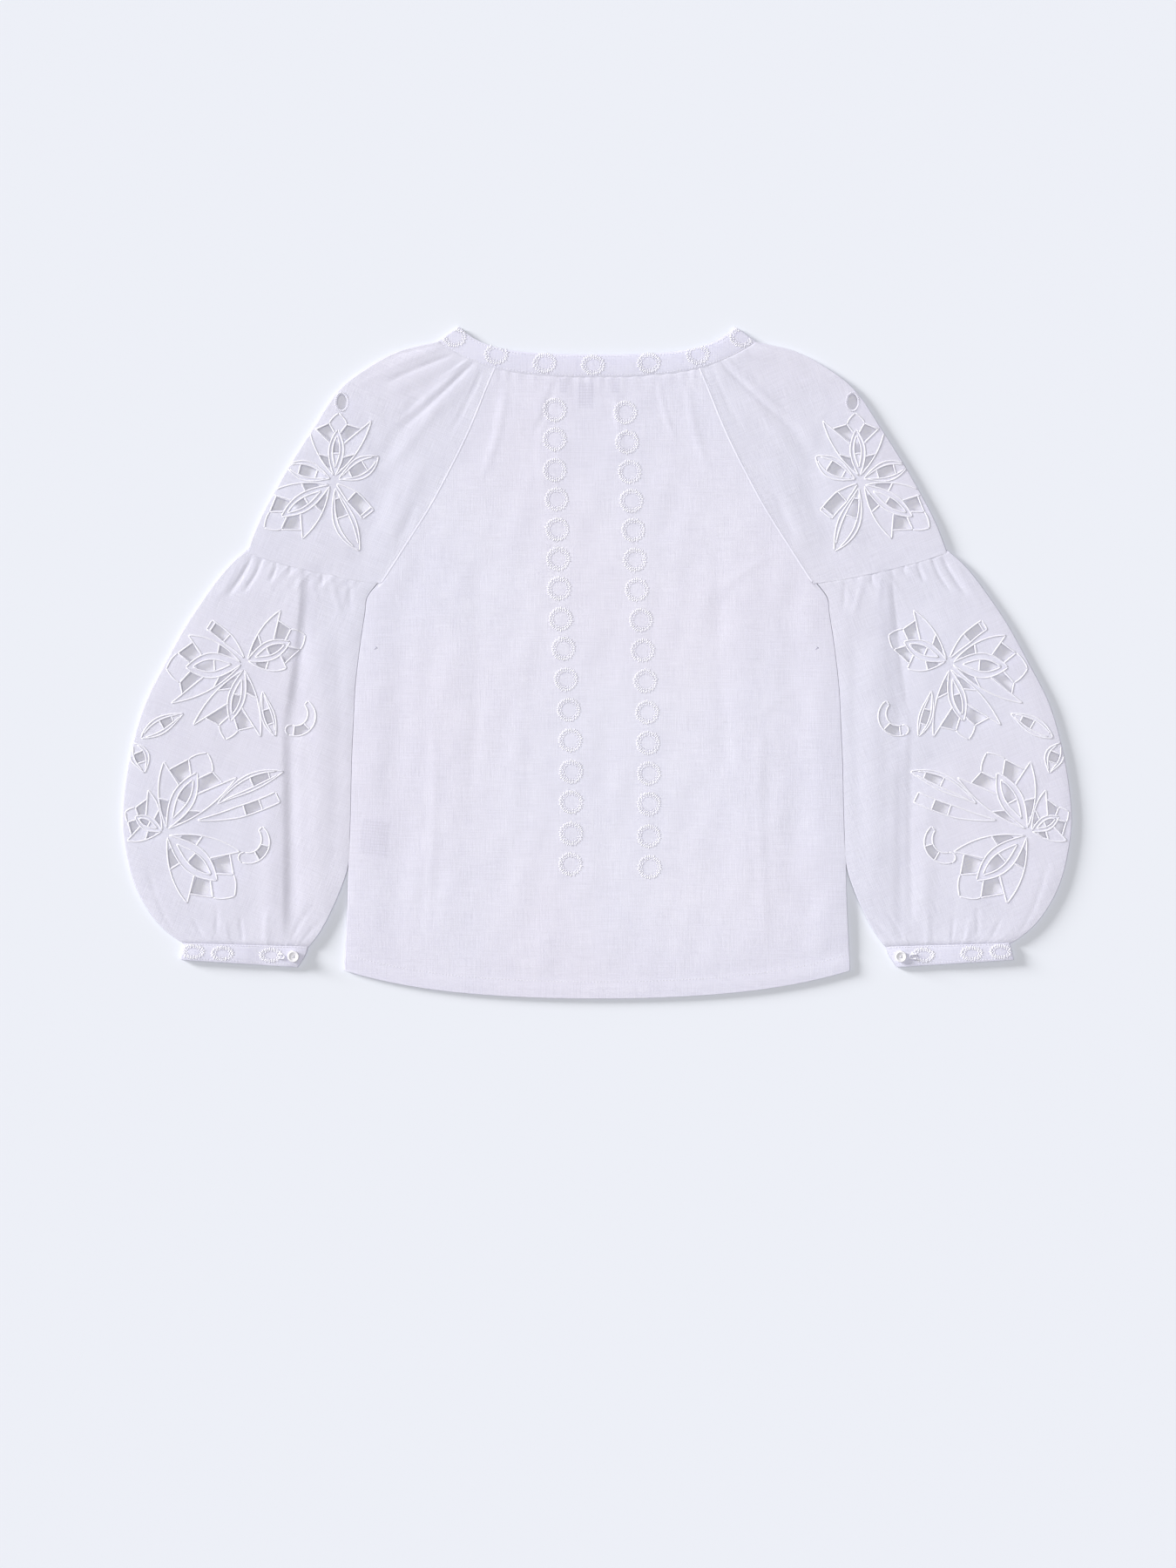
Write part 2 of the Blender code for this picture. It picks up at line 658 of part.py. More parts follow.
def button(side, hand, seat, plastic):
    """A four-hole button, spun from its section, that stands on the cuff at this height."""
    rim = 0.22 * BUTTON_RADIUS
    section = (
        (0.0, 0.0),
        (BUTTON_RADIUS - rim, 0.0),
        (BUTTON_RADIUS, 0.45 * BUTTON_HEIGHT),
        (BUTTON_RADIUS - 0.4 * rim, BUTTON_HEIGHT),
        (BUTTON_RADIUS - 1.4 * rim, BUTTON_HEIGHT),
        (BUTTON_RADIUS - 2.0 * rim, 0.7 * BUTTON_HEIGHT),
        (0.0, 0.7 * BUTTON_HEIGHT),
    )
    bm = bmesh.new()
    verts = [bm.verts.new((radius, 0.0, z)) for radius, z in section]
    edges = [bm.edges.new(pair) for pair in zip(verts, verts[1:])]
    bmesh.ops.spin(
        bm, geom=verts + edges, cent=(0, 0, 0), axis=(0, 0, 1), angle=2 * pi, steps=20, use_merge=True
    )
    bmesh.ops.remove_doubles(bm, verts=bm.verts[:], dist=1e-6)
    bmesh.ops.recalc_face_normals(bm, faces=bm.faces[:])
    obj = add_object(f"cuff_button_{hand}", bm, plastic)
    obj.location = (side * BUTTON_X, BUTTON_Y, seat + LAYER_GAP)
    drill = bmesh.new()
    for turn in (pi / 4, 3 * pi / 4, 5 * pi / 4, 7 * pi / 4):
        made = bmesh.ops.create_cone(
            drill, cap_ends=True, segments=8, radius1=BUTTON_HOLE_RADIUS, radius2=BUTTON_HOLE_RADIUS,
            depth=4 * BUTTON_HEIGHT,
        )
        offset = (BUTTON_HOLE_OFFSET * cos(turn), BUTTON_HOLE_OFFSET * sin(turn), 0.0)
        bmesh.ops.translate(drill, verts=made["verts"], vec=offset)
    cutter = add_object(obj.name + "_cutter", drill, plastic)
    cutter.location = obj.location
    cutter.hide_render = True
    cutter.display_type = "WIRE"
    holes = obj.modifiers.new("Holes", "BOOLEAN")
    holes.operation = "DIFFERENCE"
    holes.solver = "EXACT"
    holes.object = cutter
    for face in obj.data.polygons:
        face.use_smooth = True


def thread_loop(side, hand, seat, thread):
    """The loop that holds the button: two short legs and a round end, lying on the cuff."""
    height = seat + LAYER_GAP + THREAD_RADIUS
    turns = [pi * i / 8 for i in range(9)]
    route = [(LOOP_LENGTH, LOOP_RADIUS)]
    route += [(-LOOP_RADIUS * sin(turn), LOOP_RADIUS * cos(turn)) for turn in turns]
    route += [(LOOP_LENGTH, -LOOP_RADIUS)]
    curve = bpy.data.curves.new(f"cuff_loop_{hand}", "CURVE")
    curve.dimensions = "3D"
    curve.bevel_depth = THREAD_RADIUS
    curve.bevel_resolution = 2
    curve.use_fill_caps = True
    spline = curve.splines.new("POLY")
    spline.points.add(len(route) - 1)
    for knot, (x, y) in zip(spline.points, route):
        knot.co = (side * (LOOP_X + x), BUTTON_Y + y, height, 1.0)
    curve.materials.append(thread)
    obj = bpy.data.objects.new(f"cuff_loop_{hand}", curve)
    bpy.context.scene.collection.objects.link(obj)


def label(name, size, low, finish, slant=0.0):
    """A bare woven label: its middle, width and length in plan, and the height of its underside."""
    x, y, width, length = size
    bm = bmesh.new()
    bmesh.ops.create_cube(bm, size=1.0)
    bmesh.ops.scale(bm, verts=bm.verts[:], vec=(width, length, LABEL_WALL))
    for vert in bm.verts:
        vert.co.x += slant * vert.co.y
    obj = add_object(name, bm, finish)
    obj.location = (x, y, low + LABEL_WALL / 2)


def main():
    clear_scene()
    linen = material("linen", LINEN, 0.92)
    band_linen = material("band_linen", BAND_LINEN, 0.92)
    plastic = material("button_plastic", BUTTON_WHITE, 0.35)
    thread = material("thread", THREAD_WHITE, 0.8)
    tape = material("label_tape", LABEL_WHITE, 0.85)
    back_panel(linen)
    front_panel(linen)
    collar(band_linen)
    for side, hand in ((-1, "left"), (1, "right")):
        upper_sleeve(side, hand, linen)
        lower_sleeve(side, hand, linen)
        seat = cuff(side, hand, band_linen)
        button(side, hand, seat, plastic)
        thread_loop(side, hand, seat, thread)
    under_back = WALL + LOFT - LABEL_WALL
    label("neck_label", NECK_LABEL, under_back, tape)
    label("size_tag", SIZE_TAG, under_back, tape)
    label("care_label", CARE_LABEL, WALL + LAYER_GAP, tape, CARE_LABEL_SLANT)


main()
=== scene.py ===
"""White linen blouse with cutwork balloon sleeves, laid flat with its back up.

Metres, +Z up and +Y toward the neck. The tables give x as the distance outward from the middle of
the back, so that each row serves both sides. Angles in the embroidery turn from +Y outward, in
degrees.
"""

import logging
from dataclasses import dataclass
from enum import Enum
from math import cos, hypot, pi, radians, sin
from typing import Callable, Iterable, NamedTuple, Sequence

import bmesh
import bpy
import numpy as np
from mathutils import Matrix, Vector
from mathutils.bvhtree import BVHTree


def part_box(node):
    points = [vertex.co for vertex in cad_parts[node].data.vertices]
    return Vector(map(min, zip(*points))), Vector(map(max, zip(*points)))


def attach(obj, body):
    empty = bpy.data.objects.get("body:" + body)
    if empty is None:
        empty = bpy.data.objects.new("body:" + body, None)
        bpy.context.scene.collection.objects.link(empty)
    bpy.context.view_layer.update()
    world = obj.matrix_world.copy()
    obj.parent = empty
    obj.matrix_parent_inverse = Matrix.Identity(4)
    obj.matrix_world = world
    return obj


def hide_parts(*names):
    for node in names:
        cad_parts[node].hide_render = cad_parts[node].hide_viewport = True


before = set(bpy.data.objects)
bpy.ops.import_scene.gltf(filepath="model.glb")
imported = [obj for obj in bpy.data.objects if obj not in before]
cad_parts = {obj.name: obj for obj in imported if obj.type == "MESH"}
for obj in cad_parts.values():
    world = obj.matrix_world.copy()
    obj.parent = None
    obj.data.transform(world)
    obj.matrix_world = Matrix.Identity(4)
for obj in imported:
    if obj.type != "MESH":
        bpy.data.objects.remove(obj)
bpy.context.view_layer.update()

log = logging.getLogger("blouse")

Array = np.ndarray
Shape = bmesh.types.BMesh
Piece = bpy.types.Object
Material = bpy.types.Material
Tree = bpy.types.NodeTree
Node = bpy.types.Node
Socket = bpy.types.NodeSocket
Pair = tuple[float, float]
Line = list[Pair]
Rows = Sequence[Pair]
Size = tuple[float, float, float]

# Solids that the cloth stands for
WALL = 0.0012
BAND_WALL = 0.0016
LAYER_GAP = 0.0003
SEAM_GAP = 0.0005
LOFT = 0.0020
EDGE_ROLL = 0.014
HIGHEST_LIFT = 0.0033
TOP_FACE = 2 * WALL + LAYER_GAP
BAND_FACE = 2 * BAND_WALL + LAYER_GAP

# Real thickness of the linen, and of the folded linen of the band and cuffs
CLOTH = 0.0006
BAND_CLOTH = 0.0009

# How a sewn edge goes under its neighbour or laps over it, and how far it sinks there
TUCK = 0.0016
LAP = 0.0018
SEAM_SINK = 0.0007
SINK_FADE = 0.004

# The lapped edge of the raglan seam: its dip, the width of the back's step beside it, its ridge
LAP_DIP = 0.00006
LAP_STEP = 0.0004
SEAM_RIDGE = 0.00008
SEAM_RIDGE_WIDTH = 0.0009

# The shell lies in the lower half of its solid's wall, which keeps the cutwork shallow, and the
# under layer of a sleeve in the upper half
SETTLE = 0.0006
UNDER_RISE = 0.0006

# How far a fold swings out in plan, and less where the sleeve lies against the body
FOLD_REACH = 0.0005
CLOSE_REACH = 0.00015

# How square a fold's section is, and how far a rolled side edge turns under
FOLD_POWER = 0.7
ROLLED_TURN = 0.78 * pi

# Shares at which the first columns and rows stand beside each edge
NEAR_EDGE = (0.0, 0.0008, 0.0030, 0.0070, 0.0125)
EVEN_SPAN = (0.018, 0.982)

# Where the cutters of the cutwork start and how high they stand, and what counts as level cloth
CUT_FROM = 0.0018
CUT_HEIGHT = 0.02
LEVEL_ENOUGH = 0.8

# A pleat's steep side, the fall past it and its hollow
PLEAT_RISE = 0.0030
PLEAT_FALL = 0.0040
PLEAT_HOLLOW = 0.75

# The waves of smoothed cloth: how many, their lengths and their height for each metre of length
RIPPLE_WAVES = 14
RIPPLE_LENGTHS = (0.018, 0.070)
RIPPLE_SLOPE = 0.0006

# Stitches of the seams, of the raglan seam and round the eyelet: half of each one's length, width
# and height
SEAM_STITCH = (0.0011, 0.00026, 0.00018)
FINE_STITCH = (0.0009, 0.00020, 0.00012)
EYELET_STITCH = (0.0011, 0.00042, 0.0004)

# Neckline
NECK_EDGE_X = 0.1007
NECK_EDGE_Y = 0.2869
NECK_HANG = 0.0090
FRONT_NECK_Y = 0.2172
BACK_LEAN_POWER = 3.0
FRONT_LEAN_POWER = 1.2
BAND_END_X = 0.1568
BAND_END_Y = 0.3124
BAND_HEIGHT = 0.0222
BAND_NARROWING = 0.0069
BAND_LEAN = 0.0221

HEM_HANG = 0.0272
GATHER_HANG = 0.0038
SLEEVE_GAP = 0.00003
SIDE_ROWS = 9

# Edges in plan, as rows of x and y, each from its neck end
RAGLAN = (
    (0.1007, 0.2869), (0.1101, 0.2656), (0.1194, 0.2427), (0.1305, 0.2172), (0.1466, 0.1849),
    (0.1645, 0.1517), (0.1849, 0.1194), (0.1993, 0.0973), (0.2121, 0.0786),
)
SHOULDER = (
    (0.1551, 0.3115), (0.1934, 0.3030), (0.2257, 0.2860), (0.2529, 0.2639), (0.2775, 0.2274),
    (0.2996, 0.1925), (0.3175, 0.1611), (0.3311, 0.1347), (0.3413, 0.1084),
)
BALLOON = (
    (0.3413, 0.1084), (0.3566, 0.0956), (0.3727, 0.0769), (0.3991, 0.0387), (0.4203, 0.0004),
    (0.4399, -0.0378), (0.4518, -0.0761), (0.4594, -0.1143), (0.4628, -0.1543), (0.4586, -0.1891),
    (0.4501, -0.2189), (0.4365, -0.2435), (0.4212, -0.2605), (0.4025, -0.2733),
)
UNDERARM = (
    (0.2121, 0.0786), (0.2240, 0.0633), (0.2265, 0.0472), (0.2316, 0.0132), (0.2359, -0.0251),
    (0.2376, -0.0591), (0.2393, -0.0956), (0.2401, -0.1313), (0.2410, -0.1653), (0.2427, -0.1968),
    (0.2499, -0.2206), (0.2605, -0.2444), (0.2699, -0.2614), (0.2818, -0.2767),
)
SIDE_END = ((0.2435, -0.2376), (0.2465, -0.3005))
CUFF_OUTER = ((0.4020, -0.2733), (0.4042, -0.2810), (0.4063, -0.2898))
CUFF_INNER = ((0.2818, -0.2767), (0.2843, -0.2852), (0.2920, -0.2971))


class Hand(Enum):
    """The side of the picture that a piece is on."""

    LEFT = -1
    RIGHT = 1

    @property
    def word(self) -> str:
        """The hand's name as the nodes have it."""
        return self.name.lower()


class Layer(Enum):
    """How the columns of a shell go round the flattened garment."""

    SHEET = "one layer"
    ROLLED = "one layer with both side edges rolled down"
    FOLDED = "two layers joined at the outer fold"
    TUBE = "two layers joined at both folds"


class Crease(NamedTuple):
    """A fold from one end to the other: half width, height and how far its middle bows sideways."""

    from_x: float
    from_y: float
    to_x: float
    to_y: float
    half_width: float
    height: float
    bow: float = 0.0


class Pleat(Crease):
    """A sharp fold line, whose outer side stands: its half width is how far the swell reaches."""


class Gather(NamedTuple):
    """A gather at a share of the width: its length as a share of the sleeve, and its height."""

    u: float
    length: float
    height: float


BODY_FOLDS = (
    Crease(0.190, 0.090, 0.196, -0.290, 0.020, -0.0010),
    Crease(0.142, 0.150, 0.146, -0.310, 0.026, 0.0009),
    Crease(0.215, 0.040, 0.222, -0.290, 0.014, 0.0006),
)
UPPER_FOLDS = (
    Crease(0.152, 0.308, 0.205, 0.289, 0.010, 0.0009),
    Crease(0.133, 0.299, 0.205, 0.262, 0.011, 0.0006),
    Crease(0.112, 0.290, 0.170, 0.232, 0.011, 0.0005),
    Crease(0.196, 0.215, 0.232, 0.092, 0.020, -0.0009),
    Crease(0.168, 0.205, 0.206, 0.112, 0.014, 0.0008),
)
LOWER_FOLDS = (
    Crease(0.286, 0.055, 0.299, -0.100, 0.012, -0.0011),
    Crease(0.299, -0.085, 0.297, -0.272, 0.012, -0.0014),
    Crease(0.268, 0.040, 0.272, -0.240, 0.018, 0.0009),
    Crease(0.322, -0.120, 0.318, -0.262, 0.014, 0.0008),
)
SLEEVE_COLUMNS = 24
SEAM_GATHERS = tuple(
    Gather(column / SLEEVE_COLUMNS, length, height)
    for column, length, height in (
        (2, 0.10, 0.0009), (4, 0.16, 0.0011), (6, 0.11, 0.0010), (8, 0.19, 0.0013),
        (10, 0.13, 0.0010), (12, 0.22, 0.0014), (14, 0.12, 0.0010), (16, 0.17, 0.0012),
        (18, 0.10, 0.0009), (20, 0.15, 0.0011), (22, 0.09, 0.0008),
    )
)
CUFF_GATHERS = tuple(
    Gather(column / SLEEVE_COLUMNS, length, height)
    for column, length, height in (
        (3, 0.13, 0.0010), (6, 0.10, 0.0009), (9, 0.17, 0.0012),
        (12, 0.12, 0.0010), (16, 0.19, 0.0013), (20, 0.14, 0.0010),
    )
)

# Finer creases that only the cloth has
BODY_CREASES = (
    Crease(0.018, 0.262, 0.026, 0.205, 0.0045, 0.0005, 0.002),
    Crease(-0.040, 0.275, -0.062, 0.222, 0.0055, -0.0005, -0.002),
    Crease(0.060, 0.276, 0.078, 0.214, 0.0050, 0.0005, 0.003),
    Crease(-0.052, 0.268, -0.050, 0.150, 0.0090, 0.0004, 0.004),
    Crease(0.088, 0.272, 0.108, 0.190, 0.0070, 0.0006, 0.004),
    Crease(-0.090, 0.272, -0.112, 0.180, 0.0070, 0.0006, -0.004),
    Crease(0.120, 0.120, 0.130, -0.120, 0.0110, -0.0004, 0.006),
    Crease(-0.118, 0.100, -0.126, -0.150, 0.0110, -0.0004, -0.006),
    Crease(0.160, -0.060, 0.166, -0.280, 0.0080, 0.0005, 0.004),
    Crease(-0.160, -0.040, -0.168, -0.285, 0.0080, 0.0005, -0.004),
    Crease(0.020, 0.060, 0.012, -0.240, 0.0150, -0.0003, 0.008),
    Crease(-0.070, 0.020, -0.076, -0.260, 0.0130, 0.0003, 0.006),
    Crease(0.186, 0.110, 0.120, 0.070, 0.0070, 0.0004, 0.004),
    Crease(-0.186, 0.110, -0.110, 0.060, 0.0070, 0.0004, -0.004),
    Crease(0.210, -0.020, 0.160, -0.050, 0.0060, 0.0003, 0.003),
    Crease(-0.212, 0.010, -0.165, -0.030, 0.0060, 0.0003, -0.003),
)
UPPER_CREASES = (
    Crease(0.1178, 0.2946, 0.1930, 0.2250, 0.0034, -0.0009, 0.0010),
    Crease(0.1222, 0.2978, 0.1985, 0.2300, 0.0046, 0.0007, 0.0010),
    Crease(0.1381, 0.3005, 0.2087, 0.2710, 0.0030, -0.0006, -0.0010),
    Crease(0.1412, 0.3040, 0.2110, 0.2770, 0.0042, 0.0005, -0.0010),
    Crease(0.1520, 0.3100, 0.2087, 0.2958, 0.0028, -0.0005, -0.0010),
    Crease(0.1480, 0.3060, 0.2400, 0.2660, 0.0045, 0.0003, -0.0030),
    Crease(0.1110, 0.2885, 0.1430, 0.2240, 0.0040, -0.0005, 0.0015),
    Crease(0.1240, 0.2960, 0.1560, 0.2740, 0.0026, 0.0005, 0.0),
    Crease(0.1720, 0.2620, 0.2220, 0.1820, 0.0110, -0.0008, 0.0020),
    Crease(0.1500, 0.2600, 0.2050, 0.1880, 0.0080, 0.0005, 0.0020),
    Crease(0.2320, 0.2500, 0.2140, 0.1900, 0.0090, -0.0004, 0.0040),
    Crease(0.1900, 0.1900, 0.2220, 0.1100, 0.0080, 0.0004, 0.0030),
    Crease(0.1760, 0.1600, 0.1960, 0.1160, 0.0060, -0.0004, 0.0020),
)
LOWER_CREASES = (
    Pleat(0.2845, 0.0960, 0.3020, -0.0560, 0.026, 0.0014, 0.0025),
    Pleat(0.3035, -0.0400, 0.3035, -0.2730, 0.030, 0.0012, 0.0010),
    Crease(0.3359, 0.1054, 0.3606, 0.0650, 0.0036, -0.0014, 0.0020),
    Crease(0.3261, 0.1028, 0.3447, 0.0689, 0.0032, -0.0012, 0.0020),
    Crease(0.3120, 0.1010, 0.3189, 0.0780, 0.0028, -0.0010, 0.0010),
    Crease(0.2982, 0.0990, 0.3000, 0.0850, 0.0028, -0.0009, 0.0),
    Crease(0.2910, 0.0970, 0.2930, 0.0500, 0.0040, 0.0003, 0.0010),
    Crease(0.2770, 0.0920, 0.2730, 0.0560, 0.0045, 0.0004, -0.0010),
    Crease(0.2676, 0.0890, 0.2682, 0.0750, 0.0026, -0.0010, 0.0),
    Crease(0.2597, 0.0870, 0.2491, 0.0450, 0.0050, 0.0005, -0.0010),
    Crease(0.2420, 0.0810, 0.2400, 0.0500, 0.0040, -0.0005, 0.0),
    Crease(0.3500, 0.0980, 0.3720, 0.0620, 0.0050, 0.0005, 0.0020),
    Crease(0.3712, -0.2660, 0.3705, -0.2380, 0.0028, -0.0008, 0.0),
    Crease(0.3452, -0.2720, 0.3480, -0.2480, 0.0028, -0.0008, 0.0),
    Crease(0.3600, -0.2700, 0.3634, -0.2500, 0.0030, 0.0005, 0.0),
    Crease(0.3846, -0.2690, 0.3935, -0.2500, 0.0034, -0.0005, 0.0),
    Crease(0.2996, -0.2732, 0.2800, -0.2400, 0.0034, -0.0006, 0.0010),
    Crease(0.2889, -0.2745, 0.2660, -0.2500, 0.0034, -0.0006, 0.0010),
    Crease(0.3240, -0.2740, 0.3220, -0.2400, 0.0040, 0.0005, 0.0),
    Crease(0.4380, -0.1950, 0.4090, -0.2680, 0.0034, -0.0005, -0.0050),
    Crease(0.3160, -0.1050, 0.3560, -0.1180, 0.0060, 0.0005, 0.0020),
    Crease(0.2520, 0.0200, 0.2560, -0.1700, 0.0090, -0.0004, 0.0040),
)


class Lotus(NamedTuple):
    """A flower: a pointed heart, a petal on each side and a hood over its tip."""

    x: float
    y: float
    angle: float
    length: float
    width: float
    more_reach: float
    more_splay: float
    less_reach: float
    less_splay: float


class Leaf(NamedTuple):
    """A leaf on a bent axis, cut open between two shares of its length."""

    x: float
    y: float
    angle: float
    length: float
    width: float
    bend: float
    open_from: float
    open_to: float


class Band(Leaf):
    """A tape-like petal, which widens from its root."""


class Scroll(NamedTuple):
    """A curl round a centre, cut open between two shares of its sweep."""

    x: float
    y: float
    radius: float
    start: float
    sweep: float
    width: float
    open_from: float
    open_to: float


class Oval(NamedTuple):
    """An eyelet: its middle, width and length."""

    x: float
    y: float
    width: float
    length: float


CORD_HALF_WIDTH = 0.0009
PETAL_BULGE = 0.004
SMALL_LOTUS = 0.04
INNER_LEAF_SHARE = 0.62
Edge = Callable[[float, int], Pair]


def place(row: NamedTuple, along_axis: float, across: float) -> Pair:
    """Turns a motif's own coordinates into a plan point.

    Args:
        row: The motif.
        along_axis: Distance along its axis.
        across: Distance toward larger angles.

    Returns:
        The plan point.
    """
    turn = radians(row.angle)
    return (
        row.x + along_axis * sin(turn) + across * cos(turn),
        row.y + along_axis * cos(turn) - across * sin(turn),
    )


def bent_place(row: NamedTuple, t: float, across: float) -> Pair:
    """Turns a share along a bent motif, and a distance across it, into a plan point.

    Args:
        row: The leaf or band.
        t: Share of its length.
        across: Distance toward larger angles.

    Returns:
        The plan point.
    """
    turn = radians(row.angle + row.bend * t)
    heading = radians(row.angle + 2 * row.bend * t)
    return (
        row.x + row.length * t * sin(turn) + across * cos(heading),
        row.y + row.length * t * cos(turn) - across * sin(heading),
    )


def swell(t: float) -> float:
    """A pointed oval's half width at t along it, from 0 at both ends to 1."""
    return max(0.0, sin(pi * t**1.15)) ** 0.9 if 0.0 < t < 1.0 else 0.0


def between(first: Pair, second: Pair, share: float) -> Pair:
    """The point at this share of the way from one to the other."""
    return tuple(a + (b - a) * share for a, b in zip(first, second))


def bezier(start: Pair, pull: Pair, end: Pair, t: float) -> Pair:
    """The point at t on a curve that leans toward pull."""
    return between(between(start, pull, t), between(pull, end, t), t)


def run(curve: Callable[..., Pair], start: float, end: float, steps: int, *hand: int) -> Line:
    """Points of a curve, or of one hand's edge, at even steps with both ends included."""
    return [curve(start + (end - start) * i / steps, *hand) for i in range(steps + 1)]


def inset(outline: Line, distance: float) -> Line:
    """Moves a closed outline inward.

    Args:
        outline: The outline's points.
        distance: How far, which leaves the cloth under the cord that goes round it.

    Returns:
        The smaller outline.
    """
    count = len(outline)
    turns = sum(
        outline[i - 1][0] * outline[i][1] - outline[i][0] * outline[i - 1][1] for i in range(count)
    )
    sign = 1.0 if turns > 0 else -1.0
    moved = []
    for i in range(count):
        before, here, after = outline[i - 1], outline[i], outline[(i + 1) % count]
        first = max(hypot(here[0] - before[0], here[1] - before[1]), 1e-9)
        second = max(hypot(after[0] - here[0], after[1] - here[1]), 1e-9)
        ax, ay = -sign * (here[1] - before[1]) / first, sign * (here[0] - before[0]) / first
        bx, by = -sign * (after[1] - here[1]) / second, sign * (after[0] - here[0]) / second
        spread = max(1.0 + ax * bx + ay * by, 0.4)
        step = distance / spread
        moved.append((here[0] + step * (ax + bx), here[1] + step * (ay + by)))
    return moved


@dataclass(frozen=True)
class CutworkDrawing:
    """The flowers of one sleeve piece: the cells that are cut out and the lines of satin stitch."""

    lotuses: tuple[Lotus, ...]
    leaves: tuple[Leaf, ...]
    bands: tuple[Band, ...]
    scrolls: tuple[Scroll, ...] = ()
    ovals: tuple[Oval, ...] = ()
    steps: int = 6
    band_steps: int = 3
    oval_sides: int = 24

    def cells(self) -> list[Line]:
        """The outlines of all the open cells."""
        found = [cell for row in self.lotuses for cell in self._lotus_cells(row)]
        for rows, edge_of, steps in (
            (self.leaves, self._leaf_edge, self.steps),
            (self.bands, self._band_edge, self.band_steps),
            (self.scrolls, self._scroll_edge, self.steps),
        ):
            for row in rows:
                cell = run(edge_of(row), row.open_from, row.open_to, steps, 1)
                cell += run(edge_of(row), row.open_to, row.open_from, steps, -1)
                found.append(inset(cell, CORD_HALF_WIDTH))
        return found + [self.oval(row, 0.0, self.oval_sides) for row in self.ovals]

    def lines(self) -> list[Line]:
        """The centre lines of all the satin stitch."""
        return [
            line
            for rows, lines_of in (
                (self.lotuses, self._lotus_lines),
                (self.leaves, self._leaf_lines),
                (self.bands, self._band_lines),
                (self.scrolls, self._scroll_lines),
            )
            for row in rows
            for line in lines_of(row)
        ]

    @staticmethod
    def oval(row: Oval, outward: float, sides: int) -> Line:
        """An eyelet's outline, this far outside its edge."""
        across, along_it = row.width / 2 + outward, row.length / 2 + outward
        turns = [2 * pi * i / sides for i in range(sides)]
        return [(row.x + across * sin(turn), row.y + along_it * cos(turn)) for turn in turns]

    @staticmethod
    def _lotus_side(row: Lotus, hand: int) -> dict[str, Pair]:
        """The named points of one side petal, in the flower's own coordinates."""
        more = (row.more_reach, row.more_splay)
        reach, splay = more if hand > 0 else (row.less_reach, row.less_splay)
        along_tip, out_tip = reach * cos(radians(splay)), reach * sin(radians(splay))
        tip = (along_tip, hand * out_tip)
        knee = (0.70 * row.length, hand * row.width * swell(0.70))
        return {
            "tip": tip,
            "pull": (0.45 * along_tip, hand * (0.50 * out_tip + 0.80 * row.width + PETAL_BULGE)),
            "root": (0.05 * row.length, hand * 0.15 * row.width),
            "knee": knee,
            "gate": between(knee, tip, 0.66),
            "corner": (1.12 * row.length, hand * 1.20 * row.width),
            "crown": (1.24 * row.length, hand * 0.95 * row.width),
            "apex": (1.34 * row.length, 0.0),
        }

    def _lotus_edges(self, row: Lotus) -> tuple[Edge, Edge, Edge]:
        """The edges of a flower's heart, of the leaf in it and of its side petals."""

        def heart(t: float, hand: int) -> Pair:
            """The heart's edge."""
            return (row.length * t, hand * row.width * swell(t))

        def inner_leaf(t: float, hand: int) -> Pair:
            """The edge of the leaf in the heart."""
            return (row.length * (0.2 + 0.68 * t), hand * 0.5 * row.width * swell(t))

        def petal(t: float, hand: int) -> Pair:
            """A side petal's outer edge."""
            at = self._lotus_side(row, hand)
            return bezier(at["root"], at["pull"], at["tip"], t)

        return heart, inner_leaf, petal

    def _lotus_cells(self, row: Lotus) -> list[Line]:
        """Half of the heart, the root of each side petal and two hood cells."""
        heart, inner_leaf, petal = self._lotus_edges(row)
        steps = self.steps if row.length > SMALL_LOTUS else self.steps // 2
        found = [run(inner_leaf, 0.45, 0.92, steps, 1) + run(inner_leaf, 0.92, 0.45, steps, -1)]
        for hand in (1, -1):
            at = self._lotus_side(row, hand)
            found.append(run(heart, 0.17, 0.42, steps, hand) + run(petal, 0.42, 0.16, steps, hand))
            found.append(run(heart, 0.72, 0.91, 4, hand) + [at["corner"], at["gate"]])
        return [inset([place(row, *point) for point in cell], CORD_HALF_WIDTH) for cell in found]

    def _lotus_lines(self, row: Lotus) -> list[Line]:
        """The heart, its inner leaf, the petals, the bars between them and the hood."""
        heart, inner_leaf, petal = self._lotus_edges(row)
        found: list[Line] = [[inner_leaf(0.44, 1), inner_leaf(0.44, -1)]]
        for hand in (1, -1):
            at = self._lotus_side(row, hand)
            found += [
                run(heart, 0.04, 0.995, 26, hand),
                run(inner_leaf, 0.01, 0.99, 20, hand),
                run(petal, 0.0, 1.0, 26, hand),
                run(lambda t: between(at["knee"], at["tip"], t), 0.0, 1.0, 10),
                [heart(0.43, hand), petal(0.43, hand)],
                [heart(0.92, hand), at["corner"]],
                [at["gate"], at["corner"]],
                run(lambda t: bezier(at["corner"], at["crown"], at["apex"], t), 0.0, 1.0, 8),
            ]
        return [[place(row, *point) for point in line] for line in found]

    @staticmethod
    def _leaf_edge(row: Leaf, share: float = INNER_LEAF_SHARE) -> Edge:
        """A leaf's edge at this share of its width."""
        return lambda t, hand: bent_place(row, t, hand * share * row.width * swell(t))

    @staticmethod
    def _band_edge(row: Band) -> Edge:
        """A band's edge, which widens from its root."""
        return lambda t, hand: bent_place(row, t, hand * row.width * min(1.0, 2 * t) ** 0.8)

    @staticmethod
    def _scroll_edge(row: Scroll) -> Edge:
        """A scroll's inner or outer edge."""

